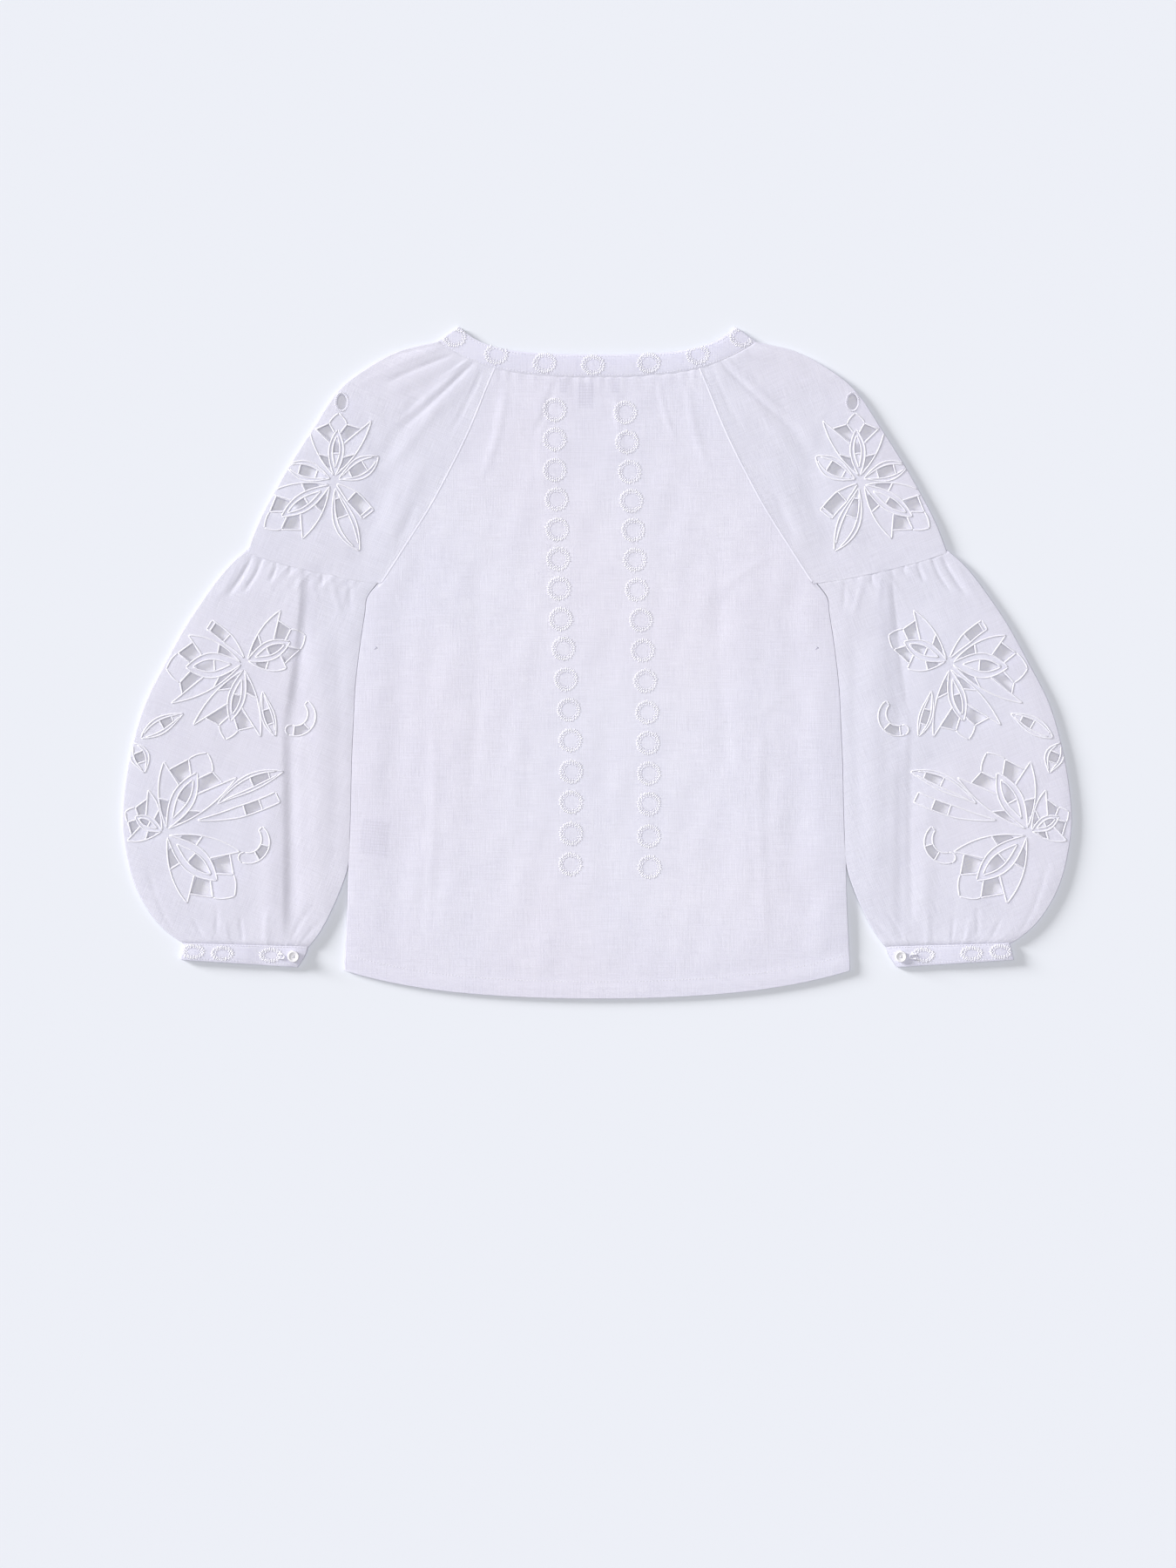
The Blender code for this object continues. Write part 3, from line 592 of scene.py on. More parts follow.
        def edge(t: float, hand: int) -> Pair:
            """The edge at t along the sweep."""
            turn = radians(row.start + row.sweep * t)
            radius = row.radius + hand * row.width * (1.0 - 0.5 * (1.0 - t) ** 2)
            return (row.x + radius * sin(turn), row.y + radius * cos(turn))

        return edge

    @staticmethod
    def _bars(edge: Edge, *shares: float) -> list[Line]:
        """Bars from edge to edge at these shares of a motif's length."""
        return [[edge(t, 1), edge(t, -1)] for t in shares]

    def _leaf_lines(self, row: Leaf) -> list[Line]:
        """A leaf's outline, its inner outline and the bars at its open cell."""
        outer, inner = self._leaf_edge(row, 1.0), self._leaf_edge(row)
        found = [run(outer, 0.005, 0.995, 26, hand) for hand in (1, -1)]
        found += [run(inner, 0.10, 0.90, 20, hand) for hand in (1, -1)]
        return found + self._bars(inner, row.open_from, row.open_to)

    def _band_lines(self, row: Band) -> list[Line]:
        """A band's two edges, its end and the bars at its open cell."""
        edge = self._band_edge(row)
        found = [run(edge, 0.01, 1.0, 22, hand) for hand in (1, -1)]
        return found + self._bars(edge, row.open_from, row.open_to, 1.0)

    def _scroll_lines(self, row: Scroll) -> list[Line]:
        """A scroll's two edges, its round end and the bars at its open cell."""
        edge = self._scroll_edge(row)
        found = [run(edge, 0.0, 1.0, 22, hand) for hand in (1, -1)]
        found += self._bars(edge, 0.0, row.open_from, row.open_to)
        outer, inner = edge(1.0, 1), edge(1.0, -1)
        middle = between(outer, inner, 0.5)
        reach = hypot(outer[0] - inner[0], outer[1] - inner[1]) / 2
        turn = radians(row.start + row.sweep)
        ahead = (cos(turn), -sin(turn)) if row.sweep > 0 else (-cos(turn), sin(turn))
        side = (sin(turn), cos(turn))

        def round_end(bend: float) -> Pair:
            """The point of the end at this bend."""
            return tuple(
                middle[k] + reach * (cos(bend) * side[k] + sin(bend) * ahead[k]) for k in (0, 1)
            )

        return found + [[round_end(pi * i / 8) for i in range(9)]]


UPPER_DRAWING = CutworkDrawing(
    lotuses=(
        Lotus(0.2560, 0.1800, -4, 0.047, 0.0072, 0.060, 29, 0.066, 29),
        Lotus(0.2590, 0.1735, 123, 0.058, 0.0085, 0.060, 29, 0.062, 25),
    ),
    leaves=(
        Leaf(0.2550, 0.1700, -171, 0.066, 0.0105, 12, 0.16, 0.44),
        Leaf(0.2600, 0.1790, 70, 0.045, 0.0095, 4, 0.32, 0.70),
        Leaf(0.2520, 0.1785, -68, 0.045, 0.0100, 8, 0.28, 0.64),
    ),
    bands=(Band(0.2540, 0.1740, -126, 0.043, 0.0070, -8, 0.45, 0.92),),
    ovals=(Oval(0.2490, 0.2540, 0.0095, 0.0150),),
)
LOWER_DRAWING = CutworkDrawing(
    lotuses=(
        Lotus(0.3450, -0.0010, 94, 0.056, 0.0120, 0.080, 25, 0.060, 31),
        Lotus(0.3435, -0.0055, 165, 0.054, 0.0080, 0.069, 28, 0.075, 27),
        Lotus(0.3420, 0.0010, -66, 0.047, 0.0090, 0.060, 32, 0.040, 34),
        Lotus(0.4200, -0.1640, -28, 0.064, 0.0110, 0.067, 30, 0.086, 25),
        Lotus(0.4200, -0.1680, -132, 0.067, 0.0125, 0.074, 29, 0.070, 31),
        Lotus(0.4230, -0.1650, 62, 0.031, 0.0066, 0.036, 42, 0.043, 42),
    ),
    leaves=(
        Leaf(0.4030, -0.0500, 114, 0.048, 0.0080, 6, 0.25, 0.50),
        Leaf(0.4410, -0.1080, 12, 0.031, 0.0090, 8, 0.35, 0.68),
        Leaf(0.3700, -0.1380, -50, 0.072, 0.0080, -14, 0.55, 0.80),
        Leaf(0.3260, -0.0280, -172, 0.046, 0.0065, 8, 0.40, 0.72),
    ),
    bands=(
        Band(0.3440, 0.0040, 34, 0.047, 0.0052, 12, 0.55, 0.92),
        Band(0.3900, -0.1540, -84, 0.082, 0.0055, 10, 0.58, 0.78),
    ),
    scrolls=(
        Scroll(0.2935, -0.0514, 0.0155, -40, -160, 0.0050, 0.60, 0.92),
        Scroll(0.3400, -0.1740, 0.0170, -45, -150, 0.0052, 0.40, 0.70),
    ),
)


def along(points: Rows, share: Array) -> Array:
    """Points on a smooth curve through the rows.

    Args:
        points: The rows of x and y.
        share: Shares of the way along them.

    Returns:
        An array of x and y, one row for each share.
    """
    rows = np.array(points, float)
    spans = len(rows) - 1
    padded = np.vstack([rows[:1], rows, rows[-1:]])
    at = np.clip(share, 0.0, 1.0) * spans
    first = np.minimum(at.astype(int), spans - 1)
    t = (at - first)[..., None]
    before, start, end, after = (padded[first + k] for k in range(4))
    return 0.5 * (
        2 * start + (end - before) * t + (2 * before - 5 * start + 4 * end - after) * t**2
        + (3 * start - before - 3 * end + after) * t**3
    )


def hang(s: Array) -> Array:
    """How far a row hangs at s, from 1 in its middle to 0 at its ends, where s is 1."""
    return 1.0 - 0.6 * s**2 - 0.4 * s**4


def ease(share: Array) -> Array:
    """0 to 1 with a round shoulder."""
    return 1.0 - (1.0 - np.clip(share, 0.0, 1.0)) ** 2


def smooth(share: Array) -> Array:
    """0 to 1 with both ends round."""
    held = np.clip(share, 0.0, 1.0)
    return held**2 * (3.0 - 2.0 * held)


def inside(u: Array, fade: float) -> Array:
    """0 at both side edges and 1 between them."""
    return ease(u / fade) * ease((1.0 - u) / fade)


def back_neck(x: Array) -> Array:
    """The seam of the band on the back."""
    return NECK_EDGE_Y - NECK_HANG * hang(x / NECK_EDGE_X)


def front_neck(x: Array) -> Array:
    """The seam of the band on the front."""
    return FRONT_NECK_Y + (BAND_END_Y - FRONT_NECK_Y) * (x / BAND_END_X) ** 2


def relief(creases: Iterable[Crease], x: Array, y: Array) -> Array:
    """The height that the creases add at plan points.

    Args:
        creases: The creases.
        x: The points' x.
        y: The points' y.

    Returns:
        The heights.
    """
    total = np.zeros_like(x)
    for crease in creases:
        dx, dy = crease.to_x - crease.from_x, crease.to_y - crease.from_y
        length = hypot(dx, dy)
        t = ((x - crease.from_x) * dx + (y - crease.from_y) * dy) / length**2
        held = np.clip(t, 0.0, 1.0)
        aside = ((x - crease.from_x) * dy - (y - crease.from_y) * dx) / length
        aside = aside - 4 * crease.bow * held * (1.0 - held)
        if isinstance(crease, Pleat):
            reach = crease.half_width
            standing = smooth(-aside / PLEAT_RISE) * np.exp(np.minimum(aside, 0.0) / reach)
            fallen = smooth(aside / PLEAT_FALL) * np.exp(-np.maximum(aside, 0.0) / (0.5 * reach))
            profile = standing - PLEAT_HOLLOW * fallen
        else:
            share = np.minimum(np.abs(aside) / crease.half_width, 1.0)
            profile = np.cos(0.5 * pi * share) ** 2
        total += crease.height * profile * ease(4 * t) * ease(4 * (1.0 - t))
    return total


def ripple(x: Array, y: Array, seed: int) -> Array:
    """Small waves of cloth that was smoothed by hand, about 0.15 mm high."""
    chance = np.random.default_rng(seed)
    total = np.zeros_like(x)
    for _ in range(RIPPLE_WAVES):
        turn, wave = chance.uniform(0, 2 * pi), chance.uniform(*RIPPLE_LENGTHS)
        shift = chance.uniform(0, 2 * pi)
        total += wave * np.sin(2 * pi * (x * cos(turn) + y * sin(turn)) / wave + shift)
    return total * RIPPLE_SLOPE


def closer_at_ends(count: int) -> Array:
    """Shares from 0 to 1, one more than the count, that lie closer together near both ends."""
    near = np.array(NEAR_EDGE)
    even = np.linspace(*EVEN_SPAN, count + 1 - 2 * len(near))
    return np.concatenate([near, even, 1.0 - near[::-1]])


@dataclass(frozen=True)
class PlanPanel:
    """A cut piece in plan, between two side edges that run from its neck end to its far end."""

    outer: Rows
    inner: Rows
    hangs: Pair = (0.0, 0.0)
    neck: Callable[[Array], Array] | None = None
    outer_gap: float = 0.0
    inner_gap: float = 0.0
    drops: Pair = (0.0, 0.0)

    def points(self, u: Array, v: Array) -> Array:
        """Plan points of the panel.

        Args:
            u: 0 at the outer edge and 1 at the inner.
            v: 0 at the neck end and 1 at the far end.

        Returns:
            An array of x and y.
        """
        left, right = along(self.outer, v), along(self.inner, v)
        start, end = left[..., 0] - self.outer_gap, right[..., 0] + self.inner_gap
        x = start + (end - start) * u
        y = left[..., 1] + (right[..., 1] - left[..., 1]) * u
        y = y - self.drops[0] * (1.0 - v) ** 8 - self.drops[1] * v**8
        y = y - (self.hangs[0] * (1.0 - v) + self.hangs[1] * v) * hang(2 * u - 1)
        if self.neck:
            first, last = self.outer[0], self.inner[0]
            top_x, top_y = first[0] + (last[0] - first[0]) * u, first[1] + (last[1] - first[1]) * u
            seam = self.neck(np.abs(top_x)) - SEAM_GAP
            y = y + (seam - top_y + self.hangs[0] * hang(2 * u - 1)) * (1.0 - v) ** 3
        return np.stack([x, y], axis=-1)

    def widths(self, v: Array) -> Array:
        """The panel's width at each v."""
        return np.linalg.norm(along(self.outer, v) - along(self.inner, v), axis=-1)

    def length(self) -> float:
        """The panel's length down its middle."""
        middle = self.points(np.full(40, 0.5), np.linspace(0.0, 1.0, 40))
        return float(np.linalg.norm(np.diff(middle, axis=0), axis=1).sum())

    def row_at(self, share: float, u: Array) -> Line:
        """Points of the row across the panel at this share of its length."""
        return [tuple(point) for point in self.points(u, np.full_like(u, share))]

    def loft(self, u: Array, v: Array, outer_share: float, inner_share: float) -> Array:
        """The loft at (u, v), falling to these shares of it at the two side edges."""
        width = self.widths(v)
        outer_fall = outer_share + (1 - outer_share) * ease(u * width / EDGE_ROLL)
        inner_fall = inner_share + (1 - inner_share) * ease((1 - u) * width / EDGE_ROLL)
        return LOFT * outer_fall * inner_fall


Height = Callable[[Array, Array, Array, Array], Array]


def round_the_cloth(layer: Layer, top: int, under: int, roll: int) -> tuple[Array, Array]:
    """Where each column of a shell stands on its way round.

    Args:
        layer: How the shell goes round.
        top: Columns across the top.
        under: Columns across the underside.
        roll: Columns round a fold.

    Returns:
        u of each column, and how far it has turned: 0 on top and pi on the underside.
    """
    over = closer_at_ends(top)[::-1]
    if layer is Layer.SHEET:
        return over, np.zeros_like(over)
    if layer is Layer.ROLLED:
        down = np.linspace(0.0, ROLLED_TURN, roll + 1)[1:]
        u = np.concatenate([np.ones(roll), over, np.zeros(roll)])
        return u, np.concatenate([-down[::-1], np.zeros(top + 1), down])
    fold = np.linspace(0.0, pi, roll + 1)[1:-1]
    u = np.concatenate([over, np.zeros(roll - 1), np.linspace(0.0, 1.0, under + 1)])
    turn = np.concatenate([np.zeros(top + 1), fold, np.full(under + 1, pi)])
    if layer is Layer.FOLDED:
        return u, turn
    return np.concatenate([u, np.ones(roll)]), np.concatenate([turn, pi + np.append(fold, pi)])


def round_power(wave: Array) -> Array:
    """A sine or cosine made squarer, so that a fold is flat above and below."""
    return np.sign(wave) * np.abs(wave) ** FOLD_POWER


@dataclass(frozen=True)
class ClothShell:
    """A thin shell of cloth over a plan, in one or two layers."""

    name: str
    plan: PlanPanel
    height: Height
    side: int
    layer: Layer
    columns: int
    rows: int
    under_plan: PlanPanel | None = None
    under_columns: int = 16
    roll_columns: int = 5
    wall: float = CLOTH
    even_rows: bool = False
    under_rise: float = 0.0
    reaches: Pair = (FOLD_REACH, FOLD_REACH)
    roll_share: Callable[[Array], Array] | None = None
    spread: Callable[[Array, Array], Array] | None = None
    sharp_angle: float = radians(50)

    def surface(self) -> Shape:
        """The middle surface of the cloth, with its faces outward."""
        u_of, turn_of = round_the_cloth(
            self.layer, self.columns, self.under_columns, self.roll_columns
        )
        last = len(u_of) - 1
        bm = bmesh.new()
        bmesh.ops.create_grid(bm, x_segments=last, y_segments=self.rows, size=0.5)
        flat = np.array([vert.co for vert in bm.verts])
        column = np.rint((flat[:, 0] + 0.5) * last).astype(int)
        row = np.rint((0.5 - flat[:, 1]) * self.rows).astype(int)
        v = row / self.rows if self.even_rows else closer_at_ends(self.rows)[row]
        for vert, place_at in zip(bm.verts, self._places(u_of[column], turn_of[column], v)):
            vert.co = place_at
        if self.layer is Layer.TUBE:
            bmesh.ops.remove_doubles(bm, verts=bm.verts[:], dist=1e-7)
        bmesh.ops.recalc_face_normals(bm, faces=bm.faces[:])
        highest = max(bm.faces, key=lambda face: face.calc_center_median().z)
        if highest.normal.z < 0:
            bmesh.ops.reverse_faces(bm, faces=bm.faces[:])
        return bm

    def _places(self, u: Array, turn: Array, v: Array) -> Array:
        """The places of the grid's vertices."""
        under_plan = self.under_plan or self.plan
        u = self.spread(u, v) if self.spread else u
        share = ((1.0 - np.cos(turn)) / 2)[:, None]
        plan = self.plan.points(u, v) * (1.0 - share) + under_plan.points(u, v) * share
        upper = self.height(u, v, plan[:, 0], plan[:, 1])
        half = (upper - self.wall / 2 - self.under_rise * inside(u, 0.12)) / 2
        swing = np.where(u < 0.5, self.reaches[0], self.reaches[1])
        if self.roll_share:
            half, swing = half * self.roll_share(v), swing * self.roll_share(v)
        across = self.plan.points(np.zeros_like(v), v) - self.plan.points(np.ones_like(v), v)
        outward = across / np.linalg.norm(across, axis=1)[:, None]
        plan = plan + outward * (swing * round_power(np.sin(turn)))[:, None]
        z = upper - half * (1.0 - round_power(np.cos(turn)))
        return np.column_stack([self.side * plan[:, 0], plan[:, 1], z])

    def build(self, finish: Material, cells: Sequence[Line] = ()) -> Piece:
        """Makes the shell.

        Args:
            finish: Its material.
            cells: Outlines that are cut through its top layer.

        Returns:
            The object.
        """
        piece = add_piece(self.name, self.surface(), finish)
        thicken(piece, self.wall, even=True)
        cut_with(piece, self._cutter(cells) if cells else None)
        smooth_to(piece, self.sharp_angle)
        return piece

    def _cutter(self, cells: Sequence[Line]) -> Shape:
        """Prisms that stand in the cells, from between the layers up."""
        bm = bmesh.new()
        for cell in cells:
            bm.faces.new([bm.verts.new((self.side * x, y, CUT_FROM)) for x, y in cell])
        grown = bmesh.ops.extrude_face_region(bm, geom=bm.faces[:])
        top = [item for item in grown["geom"] if isinstance(item, bmesh.types.BMVert)]
        bmesh.ops.translate(bm, verts=top, vec=(0.0, 0.0, CUT_HEIGHT))
        bmesh.ops.recalc_face_normals(bm, faces=bm.faces[:])
        return bm


class Seat:
    """The outer face of the top layer of one or more shells, on which the needlework lies."""

    def __init__(self, *shells: ClothShell) -> None:
        """Keeps the shells' uncut surfaces.

        Args:
            shells: The cloth shells, the first of which gives the side.
        """
        self.side = shells[0].side
        self._layers = []
        for shell in shells:
            bm = shell.surface()
            self._layers.append((BVHTree.FromBMesh(bm), shell.wall / 2))
            bm.free()

    def find(self, x: float, y: float) -> float | None:
        """The height of the cloth's upper face at a plan point, or None past its edge."""
        heights = []
        for tree, half_wall in self._layers:
            place_at, normal = tree.ray_cast(Vector((x, y, 0.1)), Vector((0.0, 0.0, -1.0)))[:2]
            if place_at is not None and abs(normal.z) >= LEVEL_ENOUGH and place_at.z >= WALL:
                heights.append(place_at.z + half_wall)
        return max(heights, default=None)


def link_new(name: str, data: bpy.types.ID) -> Piece:
    """Makes an object of this data and puts it in the scene."""
    made = bpy.data.objects.new(name, data)
    bpy.context.scene.collection.objects.link(made)
    return made


def add_piece(name: str, bm: Shape, finish: Material) -> Piece:
    """Makes an object of a bmesh, which is freed.

    Args:
        name: The object's name.
        bm: Its shape, in place.
        finish: Its material.

    Returns:
        The object, at the origin.
    """
    mesh = bpy.data.meshes.new(name)
    bm.to_mesh(mesh)
    bm.free()
    mesh.materials.append(finish)
    return link_new(name, mesh)


def evaluated_mesh(piece: Piece) -> bpy.types.Mesh:
    """A new mesh of the object as its modifiers or its bevel leave it."""
    bpy.context.view_layer.update()
    graph = bpy.context.evaluated_depsgraph_get()
    return bpy.data.meshes.new_from_object(piece.evaluated_get(graph))


def thicken(piece: Piece, wall: float, even: bool) -> None:
    """Gives a surface its wall, half to each side."""
    made = piece.modifiers.new("Wall", "SOLIDIFY")
    made.thickness = wall
    made.offset = 0.0
    made.use_even_offset = even


def cut_with(piece: Piece, tool: Shape | None = None) -> None:
    """Applies a piece's modifiers, after cutting it if a tool is given.

    Args:
        piece: The piece.
        tool: The shape that is taken away, which is freed, or None.
    """
    cutter = None
    if tool:
        cutter = add_piece(f"{piece.name}_cutter", tool, piece.active_material)
        cutter.hide_render = True
        opened = piece.modifiers.new("Openings", "BOOLEAN")
        opened.operation = "DIFFERENCE"
        opened.solver = "EXACT"
        opened.object = cutter
    made, before = evaluated_mesh(piece), piece.data
    piece.modifiers.clear()
    piece.data = made
    made.name = piece.name
    bpy.data.meshes.remove(before)
    if cutter:
        bpy.data.objects.remove(cutter, do_unlink=True)


def smooth_to(piece: Piece, sharp_angle: float) -> None:
    """Shades a piece smooth but for edges sharper than this angle."""
    piece.data.shade_smooth()
    piece.data.set_sharp_from_angle(angle=sharp_angle)


def hand_over(piece: Piece, slot: str, *nodes: str) -> Piece:
    """Puts a finished piece on the blouse.

    Args:
        piece: The piece.
        slot: The material slot of its finish; not used.
        nodes: The CAD nodes that it stands for.

    Returns:
        The piece.
    """
    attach(piece, "root")
    if nodes:
        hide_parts(*nodes)
    triangles = sum(len(face.vertices) - 2 for face in piece.data.polygons)
    log.info("%s: %d triangles", piece.name, triangles)
    return piece


class Needle:
    """Sews raised stitches into one mesh."""

    SECTION = ((-1.0, -0.6), (-0.85, 0.50), (-0.40, 0.95), (0.40, 0.95), (0.85, 0.50), (1.0, -0.6))
    RING_STEP = 0.0015
    SHORTEST_RUN = 4
    TIP_SHARE, TIP_GROWTH, TIP_LENGTH = 0.55, 0.45, 0.002
    DEEPEST_SINK = 0.2

    def __init__(self) -> None:
        """Starts with no stitches."""
        self.bm = bmesh.new()
        self.run_layer = self.bm.verts.layers.float.new("run")
        self.across_layer = self.bm.verts.layers.float.new("across")

    def cord(self, line: Line, seat: Seat, half_width: float, height: float) -> None:
        """Lays a satin cord along a line.

        Args:
            line: Plan points, with x outward.
            seat: The cloth that it lies on.
            half_width: Half of its width.
            height: How high it stands.
        """
        points, far = self._measure(line, seat)
        rings = max(3, int(np.ceil(far[-1] / self.RING_STEP)) + 1)
        at = np.linspace(0.0, far[-1], rings)
        middle = np.column_stack([np.interp(at, far, points[:, k]) for k in range(2)])
        base = [seat.find(x, y) for x, y in middle]
        start = 0
        while start < rings:
            end = start
            while end < rings and base[end] is not None:
                end += 1
            if end - start > self.SHORTEST_RUN or (start == 0 and end == rings):
                self._strip(seat, at, middle, base, slice(start, end), half_width, height)
            start = end + 1

    def _strip(
        self, seat: Seat, at: Array, middle: Array, base: Sequence[float], part: slice,
        half_width: float, height: float,
    ) -> None:
        """Lays one unbroken stretch of cord.

        Args:
            seat: The cloth that it lies on.
            at: How far along its line each ring stands.
            middle: The rings' middles.
            base: The height of the cloth under each ring.
            part: The rings that belong to the stretch.
            half_width: Half of the cord's width.
            height: How high it stands.
        """
        ahead = np.gradient(middle, axis=0)
        ahead /= np.maximum(np.linalg.norm(ahead, axis=1), 1e-9)[:, None]
        left = np.column_stack([-ahead[:, 1], ahead[:, 0]])[part]
        at, middle, base = at[part], middle[part], base[part]
        rings, around = len(at), len(self.SECTION)
        from_tip = np.minimum(at - at[0], at[-1] - at)
        slim = self.TIP_SHARE + self.TIP_GROWTH * ease(from_tip / self.TIP_LENGTH)
        made = bmesh.ops.create_grid(
            self.bm, x_segments=rings - 1, y_segments=around, size=0.5
        )["verts"]
        for vert in made:
            i = round((vert.co.x + 0.5) * (rings - 1))
            across, rise = self.SECTION[round((vert.co.y + 0.5) * around) % around]
            x, y = middle[i] + left[i] * across * half_width * slim[i]
            ground = max(seat.find(x, y) or base[i], base[i] - self.DEEPEST_SINK * height)
            vert.co = (x, y, ground + rise * height * slim[i])
            vert[self.run_layer] = at[i]
            vert[self.across_layer] = across
        bmesh.ops.remove_doubles(self.bm, verts=made, dist=1e-7)

    @staticmethod
    def _measure(line: Line, seat: Seat) -> tuple[Array, Array]:
        """The line's points in the world, and how far along it each stands."""
        points = np.array([(seat.side * x, y) for x, y in line])
        steps = np.linalg.norm(np.diff(points, axis=0), axis=1)
        return points, np.concatenate([[0.0], np.cumsum(steps)])

    def stitch(
        self, x: float, y: float, ground: Seat | float | None, turn: float, size: Size
    ) -> None:
        """Makes one single stitch, unless it is past the cloth's edge.

        Args:
            x: Its middle.
            y: Its middle.
            ground: The cloth that it lies on, or its height, or None past its edge.
            turn: The direction that it runs in, from +X.
            size: Half of its length, width and height.
        """
        z = ground.find(x, y) if isinstance(ground, Seat) else ground
        if z is None:
            return
        turned = Matrix.Translation((x, y, z)) @ Matrix.Rotation(turn, 4, "Z")
        matrix = turned @ Matrix.Diagonal((*size, 1.0))
        bmesh.ops.create_icosphere(self.bm, subdivisions=1, radius=1.0, matrix=matrix)

    def seam(self, line: Line, seat: Seat, pitch: float = 0.0030, size: Size = SEAM_STITCH) -> None:
        """Sews a row of running stitches along a line.

        Args:
            line: Plan points, with x outward.
            seat: The cloth that it lies on.
            pitch: Distance from stitch to stitch.
            size: Half of a stitch's length, width and height.
        """
        points, far = self._measure(line, seat)
        count = max(1, int(far[-1] / pitch))
        for i in range(count):
            at = far[-1] * (i + 0.5) / count
            (x, y), before, after = (
                [np.interp(at + step, far, points[:, k]) for k in range(2)]
                for step in (0.0, -0.001, 0.001)
            )
            turn = float(np.arctan2(after[1] - before[1], after[0] - before[0]))
            self.stitch(x, y, seat, turn, size)

    def finish(self, name: str, material: Material) -> Piece:
        """Closes the cords' ends and makes the object."""
        open_edges = [edge for edge in self.bm.edges if edge.is_boundary]
        if open_edges:
            bmesh.ops.holes_fill(self.bm, edges=open_edges, sides=0)
        bmesh.ops.recalc_face_normals(self.bm, faces=self.bm.faces[:])
        piece = add_piece(name, self.bm, material)
        piece.data.shade_smooth()
        return piece


@dataclass(frozen=True)
class StitchRing:
    """A ring of radial stitches: a row of long and short ones round a row of small ones."""

    outer_count: int = 36
    inner_count: int = 28
    inner_radius: float = 0.0080
    outer_radius: float = 0.0104
    stretch: Pair = (1.0, 1.0)
    seed: int = 5
    # Half sizes of the flat dark discs that paint the shade in the needle holes
    hole_shade_size: Size = (0.00030, 0.00030, 0.00008)
    outer_half_length: float = 0.0018
    inner_half_length: float = 0.0009
    thickness: Pair = (0.00052, 0.00030)
    long_and_short: Pair = (-0.0003, 0.0004)

    def _ray(self, x: float, y: float, radius: float, turn: float) -> Pair:
        """The point on the stretched ring at this radius and turn."""
        across, up = self.stretch
        return x + radius * across * cos(turn), y + radius * up * sin(turn)

    def sew(self, needle: Needle, holes: Needle, seat: Seat, x: float, y: float) -> None:
        """Sews the ring.

        Args:
            needle: What it is sewn with.
            holes: What takes the dark discs of painted shade in the needle holes between its rows.
            seat: The cloth that it lies on.
            x: Its middle, as it is in the world.
            y: Its middle.
        """
        chance = np.random.default_rng(self.seed + int(abs(y) * 1e4))
        between_rows = 0.48 * self.inner_radius + 0.52 * (self.outer_radius - 0.0010)
        for count, radius in (
            (self.outer_count, between_rows), (self.inner_count, self.inner_radius - 0.0012)
        ):
            for i in range(count):
                turn = 2 * pi * (i + 0.5) / count
                holes.stitch(*self._ray(x, y, radius, turn), seat, turn, self.hole_shade_size)
        for count, radius, half_length in (
            (self.outer_count, self.outer_radius, self.outer_half_length),
            (self.inner_count, self.inner_radius, self.inner_half_length),
        ):
            for i in range(count):
                turn = 2 * pi * i / count
                reach = radius + chance.uniform(-0.0003, 0.0003) + self.long_and_short[i % 2]
                size = (half_length * chance.uniform(0.85, 1.15), *self.thickness)
                at = self._ray(x, y, reach, turn)
                needle.stitch(*at, seat, turn + chance.uniform(-0.15, 0.15), size)


def sew_rings(
    places: Iterable[Pair], ring: StitchRing, seat: Seat, wardrobe: "Wardrobe", name: str,
    end: str = "", side: int = 1,
) -> list[Piece]:
    """Sews rings on a cloth and hands them over.

    Args:
        places: Their middles, with x outward if a side is given.
        ring: The ring.
        seat: The cloth that they lie on.
        wardrobe: The finishes.
        name: What the two pieces' names start with.
        end: What the names end with.
        side: The side that x is turned to.

    Returns:
        The stitches, and the dark discs of painted shade in the needle holes between their rows.
    """
    # The second needle lays dark discs that paint the shade in the needle holes
    rings, holes = Needle(), Needle()
    for x, y in places:
        ring.sew(rings, holes, seat, side * x, y)
    made = (
        rings.finish(f"{name}_ring_stitches{end}", wardrobe.ring),
        holes.finish(f"{name}_ring_holes{end}", wardrobe.pinhole),
    )
    return [hand_over(piece, "thread") for piece in made]


